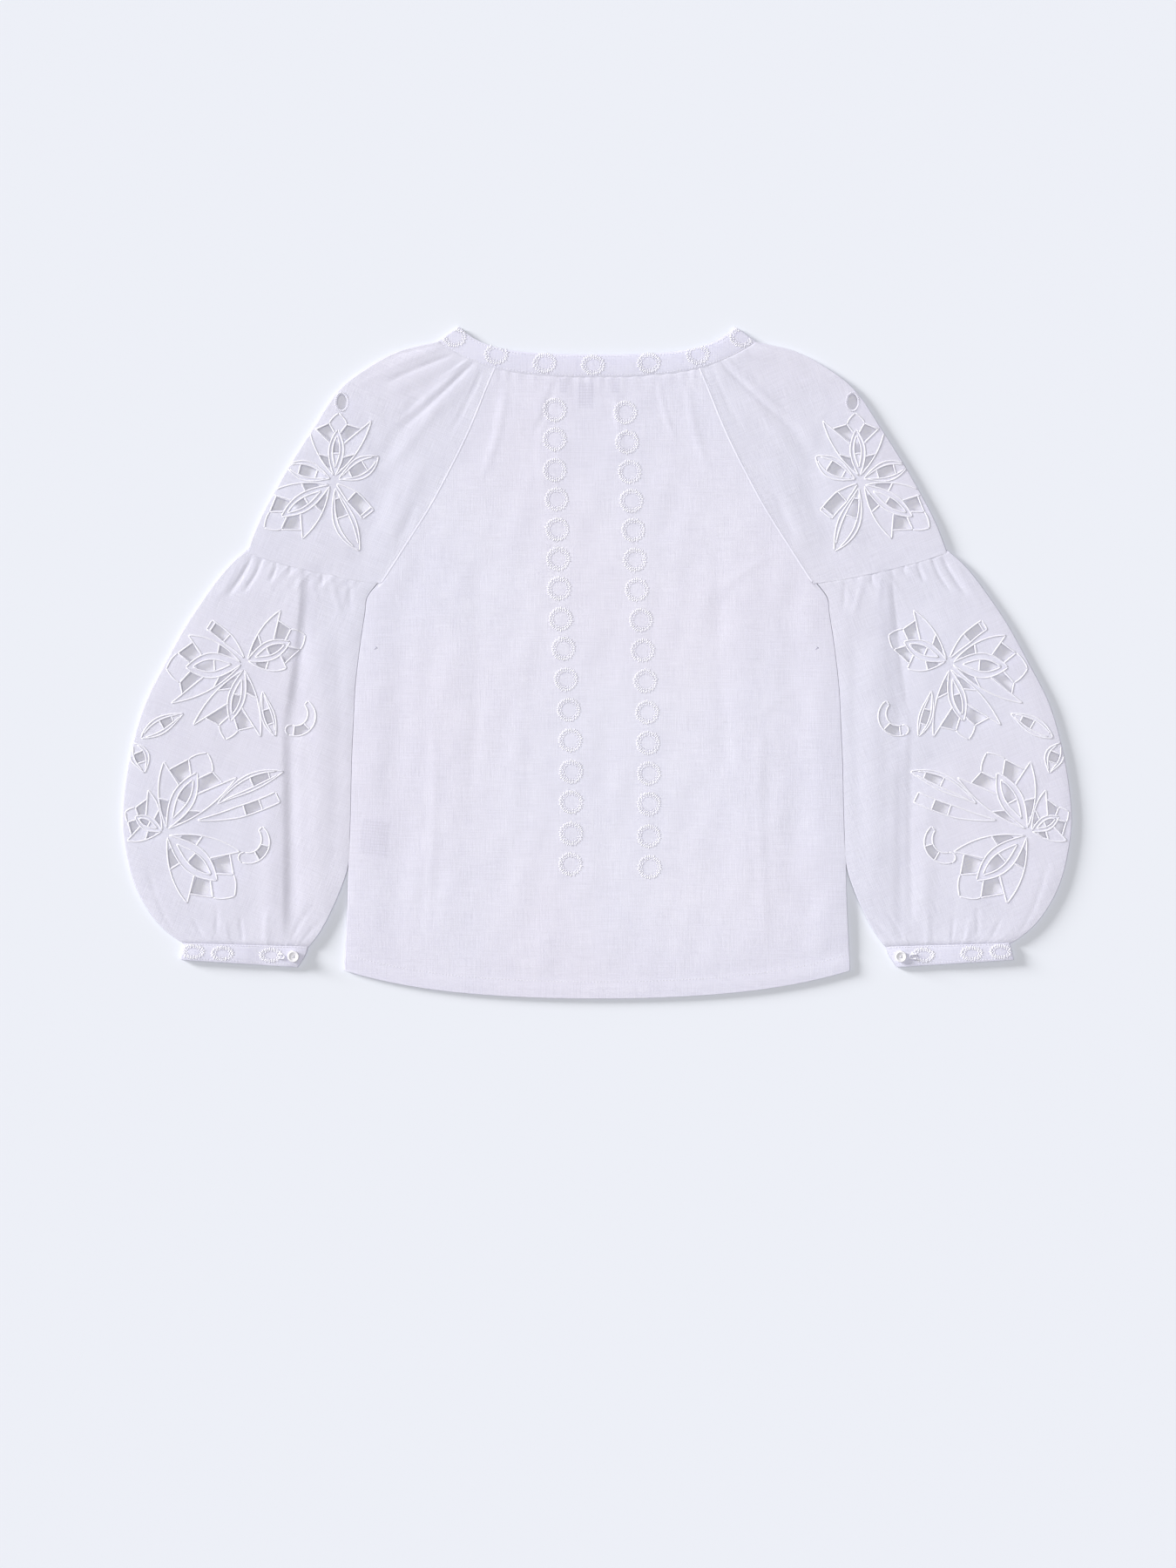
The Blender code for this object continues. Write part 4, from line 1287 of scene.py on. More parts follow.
class Shader:
    """A few lines to put nodes in a tree and join them."""

    def __init__(self, tree: Tree) -> None:
        """Keeps the tree.

        Args:
            tree: A material's or a group's node tree.
        """
        self.tree = tree

    def node(
        self, kind: str, inputs: dict[str | int, object] | None = None, **settings: object
    ) -> Node:
        """Adds a node.

        Args:
            kind: Its type, without the words ShaderNode.
            inputs: What its inputs are linked or set to, by name or number.
            settings: Its properties.

        Returns:
            The node.
        """
        made = self.tree.nodes.new(kind if kind.startswith("NodeGroup") else f"ShaderNode{kind}")
        for name, value in settings.items():
            setattr(made, name, value)
        for name, value in (inputs or {}).items():
            self.feed(made.inputs[name], value)
        return made

    def feed(self, socket: Socket, value: object) -> None:
        """Links a socket to an output, or sets it."""
        if isinstance(value, Socket):
            self.tree.links.new(value, socket)
        else:
            socket.default_value = value

    def math(self, operation: str, first: object, second: object = 0.0) -> Socket:
        """The outcome of a Math node for two sockets or numbers."""
        return self.node("Math", {0: first, 1: second}, operation=operation).outputs[0]

    def times(self, first: object, second: object) -> Socket:
        """The product of two sockets or numbers."""
        return self.math("MULTIPLY", first, second)

    def plus(self, first: object, second: object) -> Socket:
        """The sum of two sockets or numbers."""
        return self.math("ADD", first, second)

    def minus(self, first: object, second: object) -> Socket:
        """The first socket or number less the second."""
        return self.math("SUBTRACT", first, second)

    def wave(self, phase: object) -> Socket:
        """The size of the sine of a phase, without its sign."""
        return self.math("ABSOLUTE", self.math("SINE", phase))

    def axes(self, vector: Socket) -> bpy.types.NodeOutputs:
        """The X, Y and Z of a vector."""
        return self.node("SeparateXYZ", {0: vector}).outputs

    def noise(self, vector: Socket, scale: Size, detail: float) -> Socket:
        """Adds a noise of its own scale along each axis.

        Args:
            vector: The coordinates, in metres.
            scale: Waves for each metre along X, Y and Z.
            detail: Its octaves.

        Returns:
            The noise, about 0.5.
        """
        stretched = self.node("VectorMath", {0: vector, 1: scale}, operation="MULTIPLY")
        inputs = {"Scale": 1.0, "Detail": detail, "Vector": stretched.outputs[0]}
        return self.node("TexNoise", inputs).outputs[0]

    def ramp(self, value: object, low: float, high: float, start: float, end: float) -> Socket:
        """Maps a value from low and high to start and end, held between them."""
        inputs = {"Value": value, "From Min": low, "From Max": high, "To Min": start, "To Max": end}
        return self.node("MapRange", inputs, clamp=True).outputs[0]


def new_group(
    name: str, inputs: Sequence[str], outputs: Sequence[str]
) -> tuple[Shader, Node, Node]:
    """Starts a shader node group, whose sockets are all numbers but for Vector.

    Args:
        name: Its name.
        inputs: The names of its inputs.
        outputs: The names of its outputs.

    Returns:
        A Shader for the group, its input node and its output node.
    """
    tree = bpy.data.node_groups.new(name, "ShaderNodeTree")
    for labels, way in ((inputs, "INPUT"), (outputs, "OUTPUT")):
        for label in labels:
            kind = "NodeSocketVector" if label == "Vector" else "NodeSocketFloat"
            tree.interface.new_socket(name=label, in_out=way, socket_type=kind)
    shader = Shader(tree)
    return shader, shader.node("NodeGroupInput"), shader.node("NodeGroupOutput")


def linen_weave_group() -> Tree:
    """Plain weave with thick and thin threads: its height, and its tone about 0."""
    shader, given, gives = new_group("linen_weave", ("Vector", "Thread"), ("Height", "Tone"))
    vector = given.outputs["Vector"]
    x, y, _ = shader.axes(vector)
    turns = shader.math("DIVIDE", 2 * pi, given.outputs["Thread"])
    warp, weft = (shader.math("SINE", shader.times(axis, turns)) for axis in (x, y))
    down, across = (
        shader.minus(
            shader.ramp(slub, 0.52, 0.80, 0.0, 1.0), shader.ramp(slub, 0.48, 0.20, 0.0, 1.0)
        )
        for slub in (
            shader.noise(vector, (1100.0, 42.0, 0.0), 2.0),
            shader.noise(vector, (36.0, 1000.0, 0.0), 2.0),
        )
    )
    slubs = shader.plus(down, across)
    weave = shader.times(shader.times(warp, weft), 0.30)
    shader.feed(gives.inputs["Tone"], slubs)
    shader.feed(gives.inputs["Height"], shader.plus(weave, shader.times(slubs, 0.55)))
    return shader.tree


def thread_lay_group() -> Tree:
    """Threads side by side across a cord: their height, and their tone about 0."""
    shader, given, gives = new_group(
        "thread_lay", ("Run", "Across", "Thread", "Slant"), ("Height", "Tone")
    )
    run_at, across, thread, slant = (given.outputs[k] for k in range(4))
    slanted = shader.plus(run_at, shader.times(across, slant))
    ridge = shader.wave(shader.times(slanted, shader.math("DIVIDE", pi, thread)))
    wobble = shader.node("TexNoise", {"Scale": 900.0, "W": slanted}, noise_dimensions="1D")
    shader.feed(gives.inputs["Height"], ridge)
    tone = shader.plus(shader.minus(ridge, 0.64), shader.minus(wobble.outputs[0], 0.5))
    shader.feed(gives.inputs["Tone"], tone)
    return shader.tree


def soft_patch_group() -> Tree:
    """A soft-edged rectangle on the plan: 1 inside it and 0 outside."""
    shader, given, gives = new_group(
        "soft_patch", ("Vector", "Half Width", "Half Length", "Soft"), ("Mask",)
    )
    shares = []
    for axis, half in zip(shader.axes(given.outputs["Vector"]), ("Half Width", "Half Length")):
        left = shader.minus(given.outputs[half], shader.math("ABSOLUTE", axis))
        share = shader.math("DIVIDE", left, given.outputs["Soft"])
        share.node.use_clamp = True
        shares.append(share)
    shader.feed(gives.inputs["Mask"], shader.times(*shares))
    return shader.tree


class Patch(NamedTuple):
    """A soft rectangle of tone: where something between the layers shows through the cloth, and
    also painted shade and painted light: place, size, turn and tone.
    """

    x: float
    y: float
    width: float
    length: float
    turn: float
    tone: float
    soft: float = 0.0016
    hatch: float = 0.0


WARMER = (1.004, 0.997, 0.994)
COOLER = (0.995, 1.002, 1.007)
HATCH_PITCH = 0.0030


@dataclass(frozen=True)
class Finish:
    """What all the finishes share: a principled shader with a toned colour and a bump."""

    name: str
    color: tuple[float, float, float]
    roughness: float
    sheen: float = 0.0
    glow_through: float = 0.0

    def start(self) -> tuple[Material, Shader, Node, Node]:
        """Makes the material.

        Returns:
            The material, a Shader for it, its principled node and its coordinates.
        """
        made = bpy.data.materials.new(self.name)
        made.use_nodes = True
        principled = made.node_tree.nodes["Principled BSDF"]
        for name, value in {
            "Roughness": self.roughness,
            "Sheen Weight": self.sheen,
            "Sheen Roughness": 0.6,
            "Specular IOR Level": 0.25,
            "Subsurface Weight": self.glow_through,
            "Subsurface Radius": (1.0, 1.0, 1.0),
            "Subsurface Scale": 0.0012,
        }.items():
            principled.inputs[name].default_value = value
        shader = Shader(made.node_tree)
        return made, shader, principled, shader.node("TexCoord")

    def tint(
        self, shader: Shader, principled: Node, tone: Socket,
        drift: Socket | None = None,
    ) -> None:
        """Feeds Base Color with the finish's colour times a grey tone.

        Args:
            shader: The material's Shader.
            principled: Its principled node.
            tone: The tone.
            drift: From a warmer colour at 0 to a cooler one at 1, or None for the plain colour.
        """
        color: object = (*self.color, 1.0)
        if drift:
            warm, cool = (
                (*(part * by for part, by in zip(self.color, scale)), 1.0)
                for scale in (WARMER, COOLER)
            )
            hue = {"Factor": drift, 6: warm, 7: cool}
            color = shader.node("Mix", hue, data_type="RGBA").outputs[2]
        inputs = {"Factor": 1.0, 6: color, 7: tone}
        mixed = shader.node("Mix", inputs, data_type="RGBA", blend_type="MULTIPLY")
        shader.feed(principled.inputs["Base Color"], mixed.outputs[2])

    def bump(
        self, shader: Shader, principled: Node, height: Socket,
        strength: float, distance: float,
    ) -> None:
        """Feeds Normal with a bump of this strength and distance."""
        inputs = {"Strength": strength, "Distance": distance, "Height": height}
        shader.feed(principled.inputs["Normal"], shader.node("Bump", inputs).outputs[0])


@dataclass(frozen=True)
class LinenFinish(Finish):
    """Linen with slubs, on a grain direction, with what shows through it, and painted shade and
    light.
    """

    grain: float = 0.0
    thread: float = 0.0006
    slub_tone: float = 0.052
    bump_strength: float = 0.30
    # Painted light: the factor on the colour of the inner face that the cutwork shows
    inner_tone: float = 1.0
    # Painted shade: the factor on the colour of steep folded edges
    edge_tone: float = 0.62
    patches: tuple[Patch, ...] = ()

    def build(self, weave: Tree, patch: Tree) -> Material:
        """Makes the linen.

        Args:
            weave: The linen_weave group.
            patch: The soft_patch group.

        Returns:
            The material.
        """
        made, shader, principled, coordinates = self.start()
        plan = coordinates.outputs["Object"]
        grain = (0.0, 0.0, radians(self.grain))
        turned = shader.node("Mapping", {"Rotation": grain, "Vector": plan})
        inputs = {"Thread": self.thread, "Vector": turned.outputs[0]}
        woven = shader.node("Group", inputs, node_tree=weave)
        cloud = shader.noise(plan, (16.0, 11.0, 16.0), 3.0)
        tone = shader.plus(1.0, shader.times(woven.outputs["Tone"], self.slub_tone))
        tone = shader.times(tone, shader.ramp(cloud, 0.3, 0.7, 0.985, 1.012))
        for row in self.patches:
            tone = shader.times(tone, self._patch_tone(shader, plan, patch, row))
        # Painted shade on the folded edges and painted light on the inner face
        tone = shader.times(tone, self._fold_tone(shader, coordinates))
        wide = shader.noise(plan, (5.0, 4.0, 5.0), 1.0)
        self.tint(shader, principled, tone, shader.ramp(wide, 0.38, 0.62, 0.0, 1.0))
        self.bump(shader, principled, woven.outputs["Height"], self.bump_strength, 0.0003)
        return made

    @staticmethod
    def _patch_tone(shader: Shader, plan: Socket, patch: Tree, row: Patch) -> Socket:
        """The tone of one patch, 1 outside it."""
        seat = {"Location": (row.x, row.y, 0.0), "Rotation": (0.0, 0.0, radians(row.turn))}
        centred = shader.node("Mapping", {**seat, "Vector": plan}, vector_type="TEXTURE")
        size = {"Half Width": row.width / 2, "Half Length": row.length / 2, "Soft": row.soft}
        inputs = {**size, "Vector": centred.outputs[0]}
        mask = shader.node("Group", inputs, node_tree=patch)
        shade: object = 1.0 - row.tone
        if row.hatch:
            x, y, _ = shader.axes(centred.outputs[0])
            waves = (shader.wave(shader.times(axis, pi / HATCH_PITCH)) for axis in (x, y))
            lines = shader.ramp(shader.math("MINIMUM", *waves), 0.10, 0.45, row.hatch, 0.0)
            shade = shader.plus(lines, shade)
        return shader.minus(1.0, shader.times(mask.outputs[0], shade))

    def _fold_tone(self, shader: Shader, coordinates: Node) -> Socket:
        """Painted shade on the folded edges, strongest where they face the window at the left, and
        painted light on the inner face that only the cutwork shows.
        """
        z = shader.axes(coordinates.outputs["Object"])[2]
        toward_x, toward_y, toward_z = shader.axes(coordinates.outputs["Normal"])
        # Painted light on the inner face of the under layer, where the finish's factor is above 1
        low = shader.ramp(z, 0.0014, 0.0018, 1.0, 0.0)
        up = shader.ramp(toward_z, 0.2, 0.6, 0.0, 1.0)
        shade = shader.times(shader.times(low, up), 1.0 - self.inner_tone)
        # Painted shade on steep folded edges, taken in full where they face the window at the left
        edge = shader.times(
            shader.ramp(toward_z, 0.88, 0.995, self.edge_tone, 1.0),
            shader.ramp(toward_z, 0.0, 0.5, 0.8, 1.0),
        )
        leftward = shader.minus(shader.times(toward_y, 0.42), shader.times(toward_x, 0.91))
        left = shader.ramp(leftward, -0.05, 0.30, 0.0, 1.0)
        edge = shader.minus(1.0, shader.times(left, shader.minus(1.0, edge)))
        return shader.times(edge, shader.minus(1.0, shade))


@dataclass(frozen=True)
class ThreadFinish(Finish):
    """Embroidery thread, laid across its cord."""

    thread: float = 0.00036
    slant: float = 0.00025

    def build(self, lay: Tree) -> Material:
        """Makes the thread.

        Args:
            lay: The thread_lay group.

        Returns:
            The material.
        """
        made, shader, principled, _ = self.start()
        run_at, across = (
            shader.node("Attribute", attribute_name=name).outputs["Fac"]
            for name in ("run", "across")
        )
        lines = {"Run": run_at, "Across": across, "Thread": self.thread, "Slant": self.slant}
        laid = shader.node("Group", lines, node_tree=lay)
        tone = shader.plus(1.0, shader.times(laid.outputs["Tone"], 0.05))
        self.tint(shader, principled, tone)
        self.bump(shader, principled, laid.outputs["Height"], 0.6, 0.00012)
        return made


@dataclass(frozen=True)
class CloudedFinish(Finish):
    """A finish with a fine cloud of tone, such as twisted stitches or pearly plastic."""

    scale: Size = (3200.0, 3200.0, 900.0)
    detail: float = 1.0
    bump_strength: float = 0.35
    coat: float = 0.0

    def build(self) -> Material:
        """Makes the material."""
        made, shader, principled, coordinates = self.start()
        if self.coat:
            principled.inputs["Coat Weight"].default_value = self.coat
            principled.inputs["Coat Roughness"].default_value = 0.15
        cloud = shader.noise(coordinates.outputs["Object"], self.scale, self.detail)
        self.tint(shader, principled, shader.ramp(cloud, 0.3, 0.7, 0.94, 1.02))
        self.bump(shader, principled, cloud, self.bump_strength, 0.0001)
        return made


# Colours are linear
CLOTH_COLOR = (0.773, 0.760, 0.914)
SLEEVE_COLOR = (0.751, 0.742, 0.880)
# Lighter than the cloth: the whiter doubled linen of the felled seam edge, with a painted highlight
# along its ridge
RIDGE_COLOR = (0.800, 0.788, 0.920)
THREAD_COLOR = (0.812, 0.804, 0.892)
RING_COLOR = (0.890, 0.882, 0.950)
# Painted shade: the dark discs in the rings' needle holes, also the colour of the side tacks
PINHOLE_SHADE_COLOR = (0.420, 0.405, 0.560)
BUTTON_COLOR = (0.82, 0.81, 0.86)
TAPE_COLOR = (0.80, 0.80, 0.84)
FLOOR_COLOR = (0.800, 0.823, 0.893)
BODY_PATCHES = (
    Patch(-0.0070, 0.2680, 0.058, 0.020, 0, 0.980),
    Patch(-0.0330, 0.2700, 0.009, 0.016, 0, 0.965, 0.0016, 0.09),
    Patch(0.0185, 0.2700, 0.009, 0.016, 0, 0.965, 0.0016, 0.07),
    Patch(-0.0110, 0.2600, 0.0165, 0.026, 0, 0.960, 0.0016, 0.08),
    Patch(-0.2170, -0.1710, 0.030, 0.036, -7, 0.970, 0.0020, 0.07),
    # Painted light: the middle of the back lighter than its sides
    Patch(0.0, -0.05, 0.44, 0.60, 0, 1.035, 0.12),
)


def pleat_shade(hand: Hand) -> tuple[Patch, ...]:
    """The soft shade along the inner side of a sleeve's long pleat, deepest near the top."""
    side = hand.value
    return (
        Patch(side * 0.2800, 0.0600, 0.022, 0.080, side * 6.6, 0.970, 0.009),
        Patch(side * 0.2830, 0.0240, 0.020, 0.160, side * 6.6, 0.975, 0.009),
        Patch(side * 0.2960, -0.1650, 0.016, 0.200, 0.0, 0.982, 0.008),
    )


class Wardrobe:
    """The finishes of the blouse, each made once."""

    def __init__(self) -> None:
        """Builds the groups and the materials."""
        weave, lay, patch = linen_weave_group(), thread_lay_group(), soft_patch_group()

        def linen(name: str, color: Size, **changes: object) -> Material:
            """A linen with these changes to the plain one."""
            cloth = {"roughness": 0.92, "sheen": 0.05, "glow_through": 0.5, **changes}
            return LinenFinish(name, color, **cloth).build(weave, patch)

        self.body = linen("linen_body", CLOTH_COLOR, patches=BODY_PATCHES)
        self.front = linen("linen_front", CLOTH_COLOR)
        # The sleeves take painted light on the inner face under the cutwork and painted shade
        # beside the long pleat
        self.sleeve = {
            hand: linen(
                f"linen_sleeve_{hand.word}", SLEEVE_COLOR, grain=-hand.value * 22.0,
                inner_tone=1.20, patches=pleat_shade(hand),
            )
            for hand in Hand
        }
        self.band = linen("linen_band", SLEEVE_COLOR, grain=90.0, slub_tone=0.035)
        bare = {"sheen": 0.0, "glow_through": 0.0}
        self.ridge = linen("linen_ridge", RIDGE_COLOR, slub_tone=0.02, edge_tone=1.0, **bare)
        self.tape = linen("label_tape_white", TAPE_COLOR, roughness=0.8, thread=0.0004, **bare)
        self.cord = ThreadFinish("satin_thread", THREAD_COLOR, 0.55, 0.15).build(lay)
        self.stitch = CloudedFinish("stitch_thread", THREAD_COLOR, 0.6, 0.1).build()
        self.ring = CloudedFinish("ring_thread", RING_COLOR, 0.6, 0.1).build()
        # Painted shade in the needle holes, which the side tacks also take
        self.pinhole = CloudedFinish("pinhole_shade", PINHOLE_SHADE_COLOR, 0.9).build()
        self.button = CloudedFinish(
            "button_plastic_white", BUTTON_COLOR, 0.3, scale=(320.0, 520.0, 320.0), detail=3.0,
            bump_strength=0.05, coat=0.4,
        ).build()


def mirrored(points: Rows) -> Rows:
    """The rows on the other side of the middle."""
    return tuple((-x, y) for x, y in points)


def body_edge(first_row: int) -> Rows:
    """The side edge of the body, from this row of the raglan seam to the hem."""
    return RAGLAN[first_row:] + UNDERARM[1 : SIDE_ROWS + 1] + SIDE_END


def lifted(lift: Array) -> Array:
    """The height of the top layer's middle surface for this lift."""
    return TOP_FACE - SETTLE - CLOTH / 2 + np.clip(lift, 0.0, HIGHEST_LIFT)


def band_roll(edge: Array) -> Array:
    """How a doubled band lies lower at its edge and in its row of stitches, this far from it."""
    stitched = 0.00025 * np.exp(-(((edge - 0.002) / 0.0008) ** 2))
    return -0.0004 * (1.0 - ease(edge / 0.0012)) - stitched


def fold_inset(wall: float, reach: float = FOLD_REACH) -> float:
    """How far a plan edge stands in from the outline, so that the fold comes out to it."""
    return reach + wall / 2


# Ring embroidery of the back, as it stands in the picture: x and y of each ring
LEFT_RINGS = (
    (-0.0412, 0.2461), (-0.0412, 0.2172), (-0.0412, 0.1874), (-0.0395, 0.1589), (-0.0387, 0.1296),
    (-0.0378, 0.1007), (-0.0370, 0.0718), (-0.0353, 0.0421), (-0.0327, 0.0132), (-0.0302, -0.0166),
    (-0.0276, -0.0463), (-0.0259, -0.0761), (-0.0251, -0.1067), (-0.0251, -0.1364),
    (-0.0251, -0.1670), (-0.0259, -0.1968),
)
RIGHT_RINGS = (
    (0.0276, 0.2435), (0.0293, 0.2146), (0.0319, 0.1857), (0.0336, 0.1573), (0.0353, 0.1288),
    (0.0370, 0.0999), (0.0387, 0.0706), (0.0429, 0.0412), (0.0446, 0.0115), (0.0472, -0.0183),
    (0.0489, -0.0489), (0.0497, -0.0786), (0.0506, -0.1084), (0.0506, -0.1381), (0.0506, -0.1696),
    (0.0514, -0.1997),
)
COLLAR_RINGS = (
    (-0.1390, 0.3170), (-0.0982, 0.3000), (-0.0510, 0.2918), (-0.0038, 0.2898), (0.0506, 0.2918),
    (0.0982, 0.3000), (0.1407, 0.3170),
)
CUFF_RINGS = ((0.3651, -0.2838), (0.3180, -0.2854), (0.3935, -0.2820))

# The rings of each piece, which are flatter on the collar and the cuffs
BACK_RING = StitchRing()
COLLAR_RING = StitchRing(34, 26, 0.0072, 0.0096, (1.08, 0.90))
CUFF_RING = StitchRing(34, 26, 0.0056, 0.0076, (1.30, 0.80))


@dataclass(frozen=True)
class Body:
    """The back panel, the front panel under it, and the needlework of the back."""

    hem_fold: float = 0.010
    hem_rise: float = 0.0004
    hem_share: float = 0.45
    side_share: float = 0.85
    fold_gain: float = 0.25
    crease_gain: float = 0.40
    front_gap: float = 0.0024
    front_hem_ease: float = 0.0012
    columns: int = 150
    rows: int = 200
    tacks: Rows = ((-0.2163, 0.0132), (0.2138, 0.0132))
    tack_size: Size = (0.0017, 0.0004, 0.0002)

    def back_shell(self) -> ClothShell:
        """The back panel, with its side edges rolled down over the front's."""
        gap = fold_inset(CLOTH, CLOSE_REACH)
        edge = tuple((x + gap, y) for x, y in RAGLAN) + body_edge(0)[len(RAGLAN) :]
        plan = PlanPanel(
            edge, mirrored(edge), (NECK_HANG, HEM_HANG), back_neck, gap, gap,
            (-SEAM_GAP - TUCK, 0.0),
        )
        raglan_end, length = (len(RAGLAN) - 1) / (len(edge) - 1), plan.length()

        def at_raglan(v: Array) -> Array:
            """1 beside the raglan seam and 0 below it."""
            return 1.0 - smooth((v - raglan_end + 0.03) / 0.06)

        def height(u: Array, v: Array, x: Array, y: Array) -> Array:
            """The height of the top layer's middle surface."""
            at_side = 1.0 - (1.0 - self.side_share) * ease((v - raglan_end) / 0.1)
            at_hem = self.hem_share + (1.0 - self.hem_share) * ease((1.0 - v) / 0.05)
            from_hem, from_neck = (1.0 - v) * length, v * length
            from_side = np.minimum(u, 1.0 - u) * plan.widths(v)
            lift = at_hem * plan.loft(u, v, at_side, at_side)
            lift = lift + inside(u, 0.08) * self.fold_gain * relief(BODY_FOLDS, np.abs(x), y)
            inner = inside(u, 0.05) * ease((1.0 - v) / 0.04) * ease(v / 0.02)
            creases = self.crease_gain * relief(BODY_CREASES, x, y)
            z = lifted(lift) + inner * (creases + ripple(x, y, 3))
            sunk = SEAM_SINK * (1.0 - ease(from_neck / SINK_FADE))
            z = z + self._puckers(x, from_neck) - sunk
            z = z - SEAM_SINK * at_raglan(v) * (1.0 - smooth((from_side - LAP) / LAP_STEP))
            step = smooth((self.hem_fold + 0.0006 - from_hem) / 0.0012)
            stitched = np.exp(-(((from_hem - self.hem_fold) / 0.0015) ** 2))
            return z + self.hem_rise * step - 0.0003 * stitched

        return ClothShell(
            "back_panel_cloth", plan, height, 1, Layer.ROLLED, self.columns, self.rows,
            roll_share=lambda v: 1.0 - 0.85 * at_raglan(v), reaches=(CLOSE_REACH, CLOSE_REACH),
            spread=lambda u, v: self._beside_the_lap(u, plan.widths(v)),
        )

    @staticmethod
    def _beside_the_lap(u: Array, width: Array) -> Array:
        """Moves the columns near both sides, so that two follow the edge of the sleeve's lap."""
        side = np.minimum(u, 1.0 - u)
        shares = (*NEAR_EDGE, 0.05)
        places = (*(place / width for place in (0.0, 0.0008, LAP, LAP + LAP_STEP, 0.0045)), 0.05)
        moved = side
        for k in range(len(shares) - 1):
            part = (side - shares[k]) / (shares[k + 1] - shares[k])
            there = places[k] + part * (places[k + 1] - places[k])
            moved = np.where((part >= 0.0) & (part < 1.0), there, moved)
        return np.where(u < 0.5, moved, 1.0 - moved)

    @staticmethod
    def _puckers(x: Array, from_neck: Array) -> Array:
        """Tiny gathers where the back is sewn to the band."""
        wave = np.sin(2 * pi * x / 0.0125 + 2.4 * np.sin(x / 0.017))
        return 0.00016 * wave * np.exp(-from_neck / 0.012)

    def front_shell(self) -> ClothShell:
        """The front panel, flat on the surface."""
        edge = body_edge(1)
        plan = PlanPanel(
            edge, mirrored(edge), (NECK_HANG, HEM_HANG - self.front_hem_ease),
            lambda x: front_neck(x) - SEAM_GAP, self.front_gap, self.front_gap,
        )
        return ClothShell(
            "front_panel_cloth", plan, lambda u, v, x, y: np.full_like(x, CLOTH / 2), 1,
            Layer.SHEET, 60, 72,
        )

    def _side_tacks(self, seat: Seat, wardrobe: Wardrobe) -> Piece:
        """The small crossed tacks at the side seams, in the dark colour of the painted shade in the
        needle holes.
        """
        needle = Needle()
        for x, y in self.tacks:
            for shift, turn in ((0.0, 0.6), (0.0012, -0.7)):
                ground = seat.find(x + shift, y)
                needle.stitch(x + shift, y + shift, ground, turn, self.tack_size)
        return hand_over(needle.finish("side_tacks", wardrobe.pinhole), "thread")

    def _hem_stitches(self, seat: Seat, wardrobe: Wardrobe) -> Piece:
        """The row of stitches along the hem's fold."""
        needle, edge = Needle(), body_edge(0)
        plan = PlanPanel(edge, mirrored(edge), (NECK_HANG, HEM_HANG), back_neck)
        line = plan.row_at(1.0 - self.hem_fold / plan.length(), np.linspace(0.004, 0.996, 120))
        needle.seam(line, seat, 0.0032)
        return hand_over(needle.finish("hem_stitching", wardrobe.stitch), "thread")

    def build(self, wardrobe: Wardrobe) -> None:
        """Builds the body."""
        back, front = self.back_shell(), self.front_shell()
        cloth = hand_over(back.build(wardrobe.body), "linen", "back_panel")
        under = hand_over(front.build(wardrobe.front), "linen", "front_panel")
        seat = Seat(back)
        sewn = [
            self._side_tacks(seat, wardrobe),
            *sew_rings(LEFT_RINGS + RIGHT_RINGS, BACK_RING, seat, wardrobe, "back"),
            self._hem_stitches(seat, wardrobe),
        ]


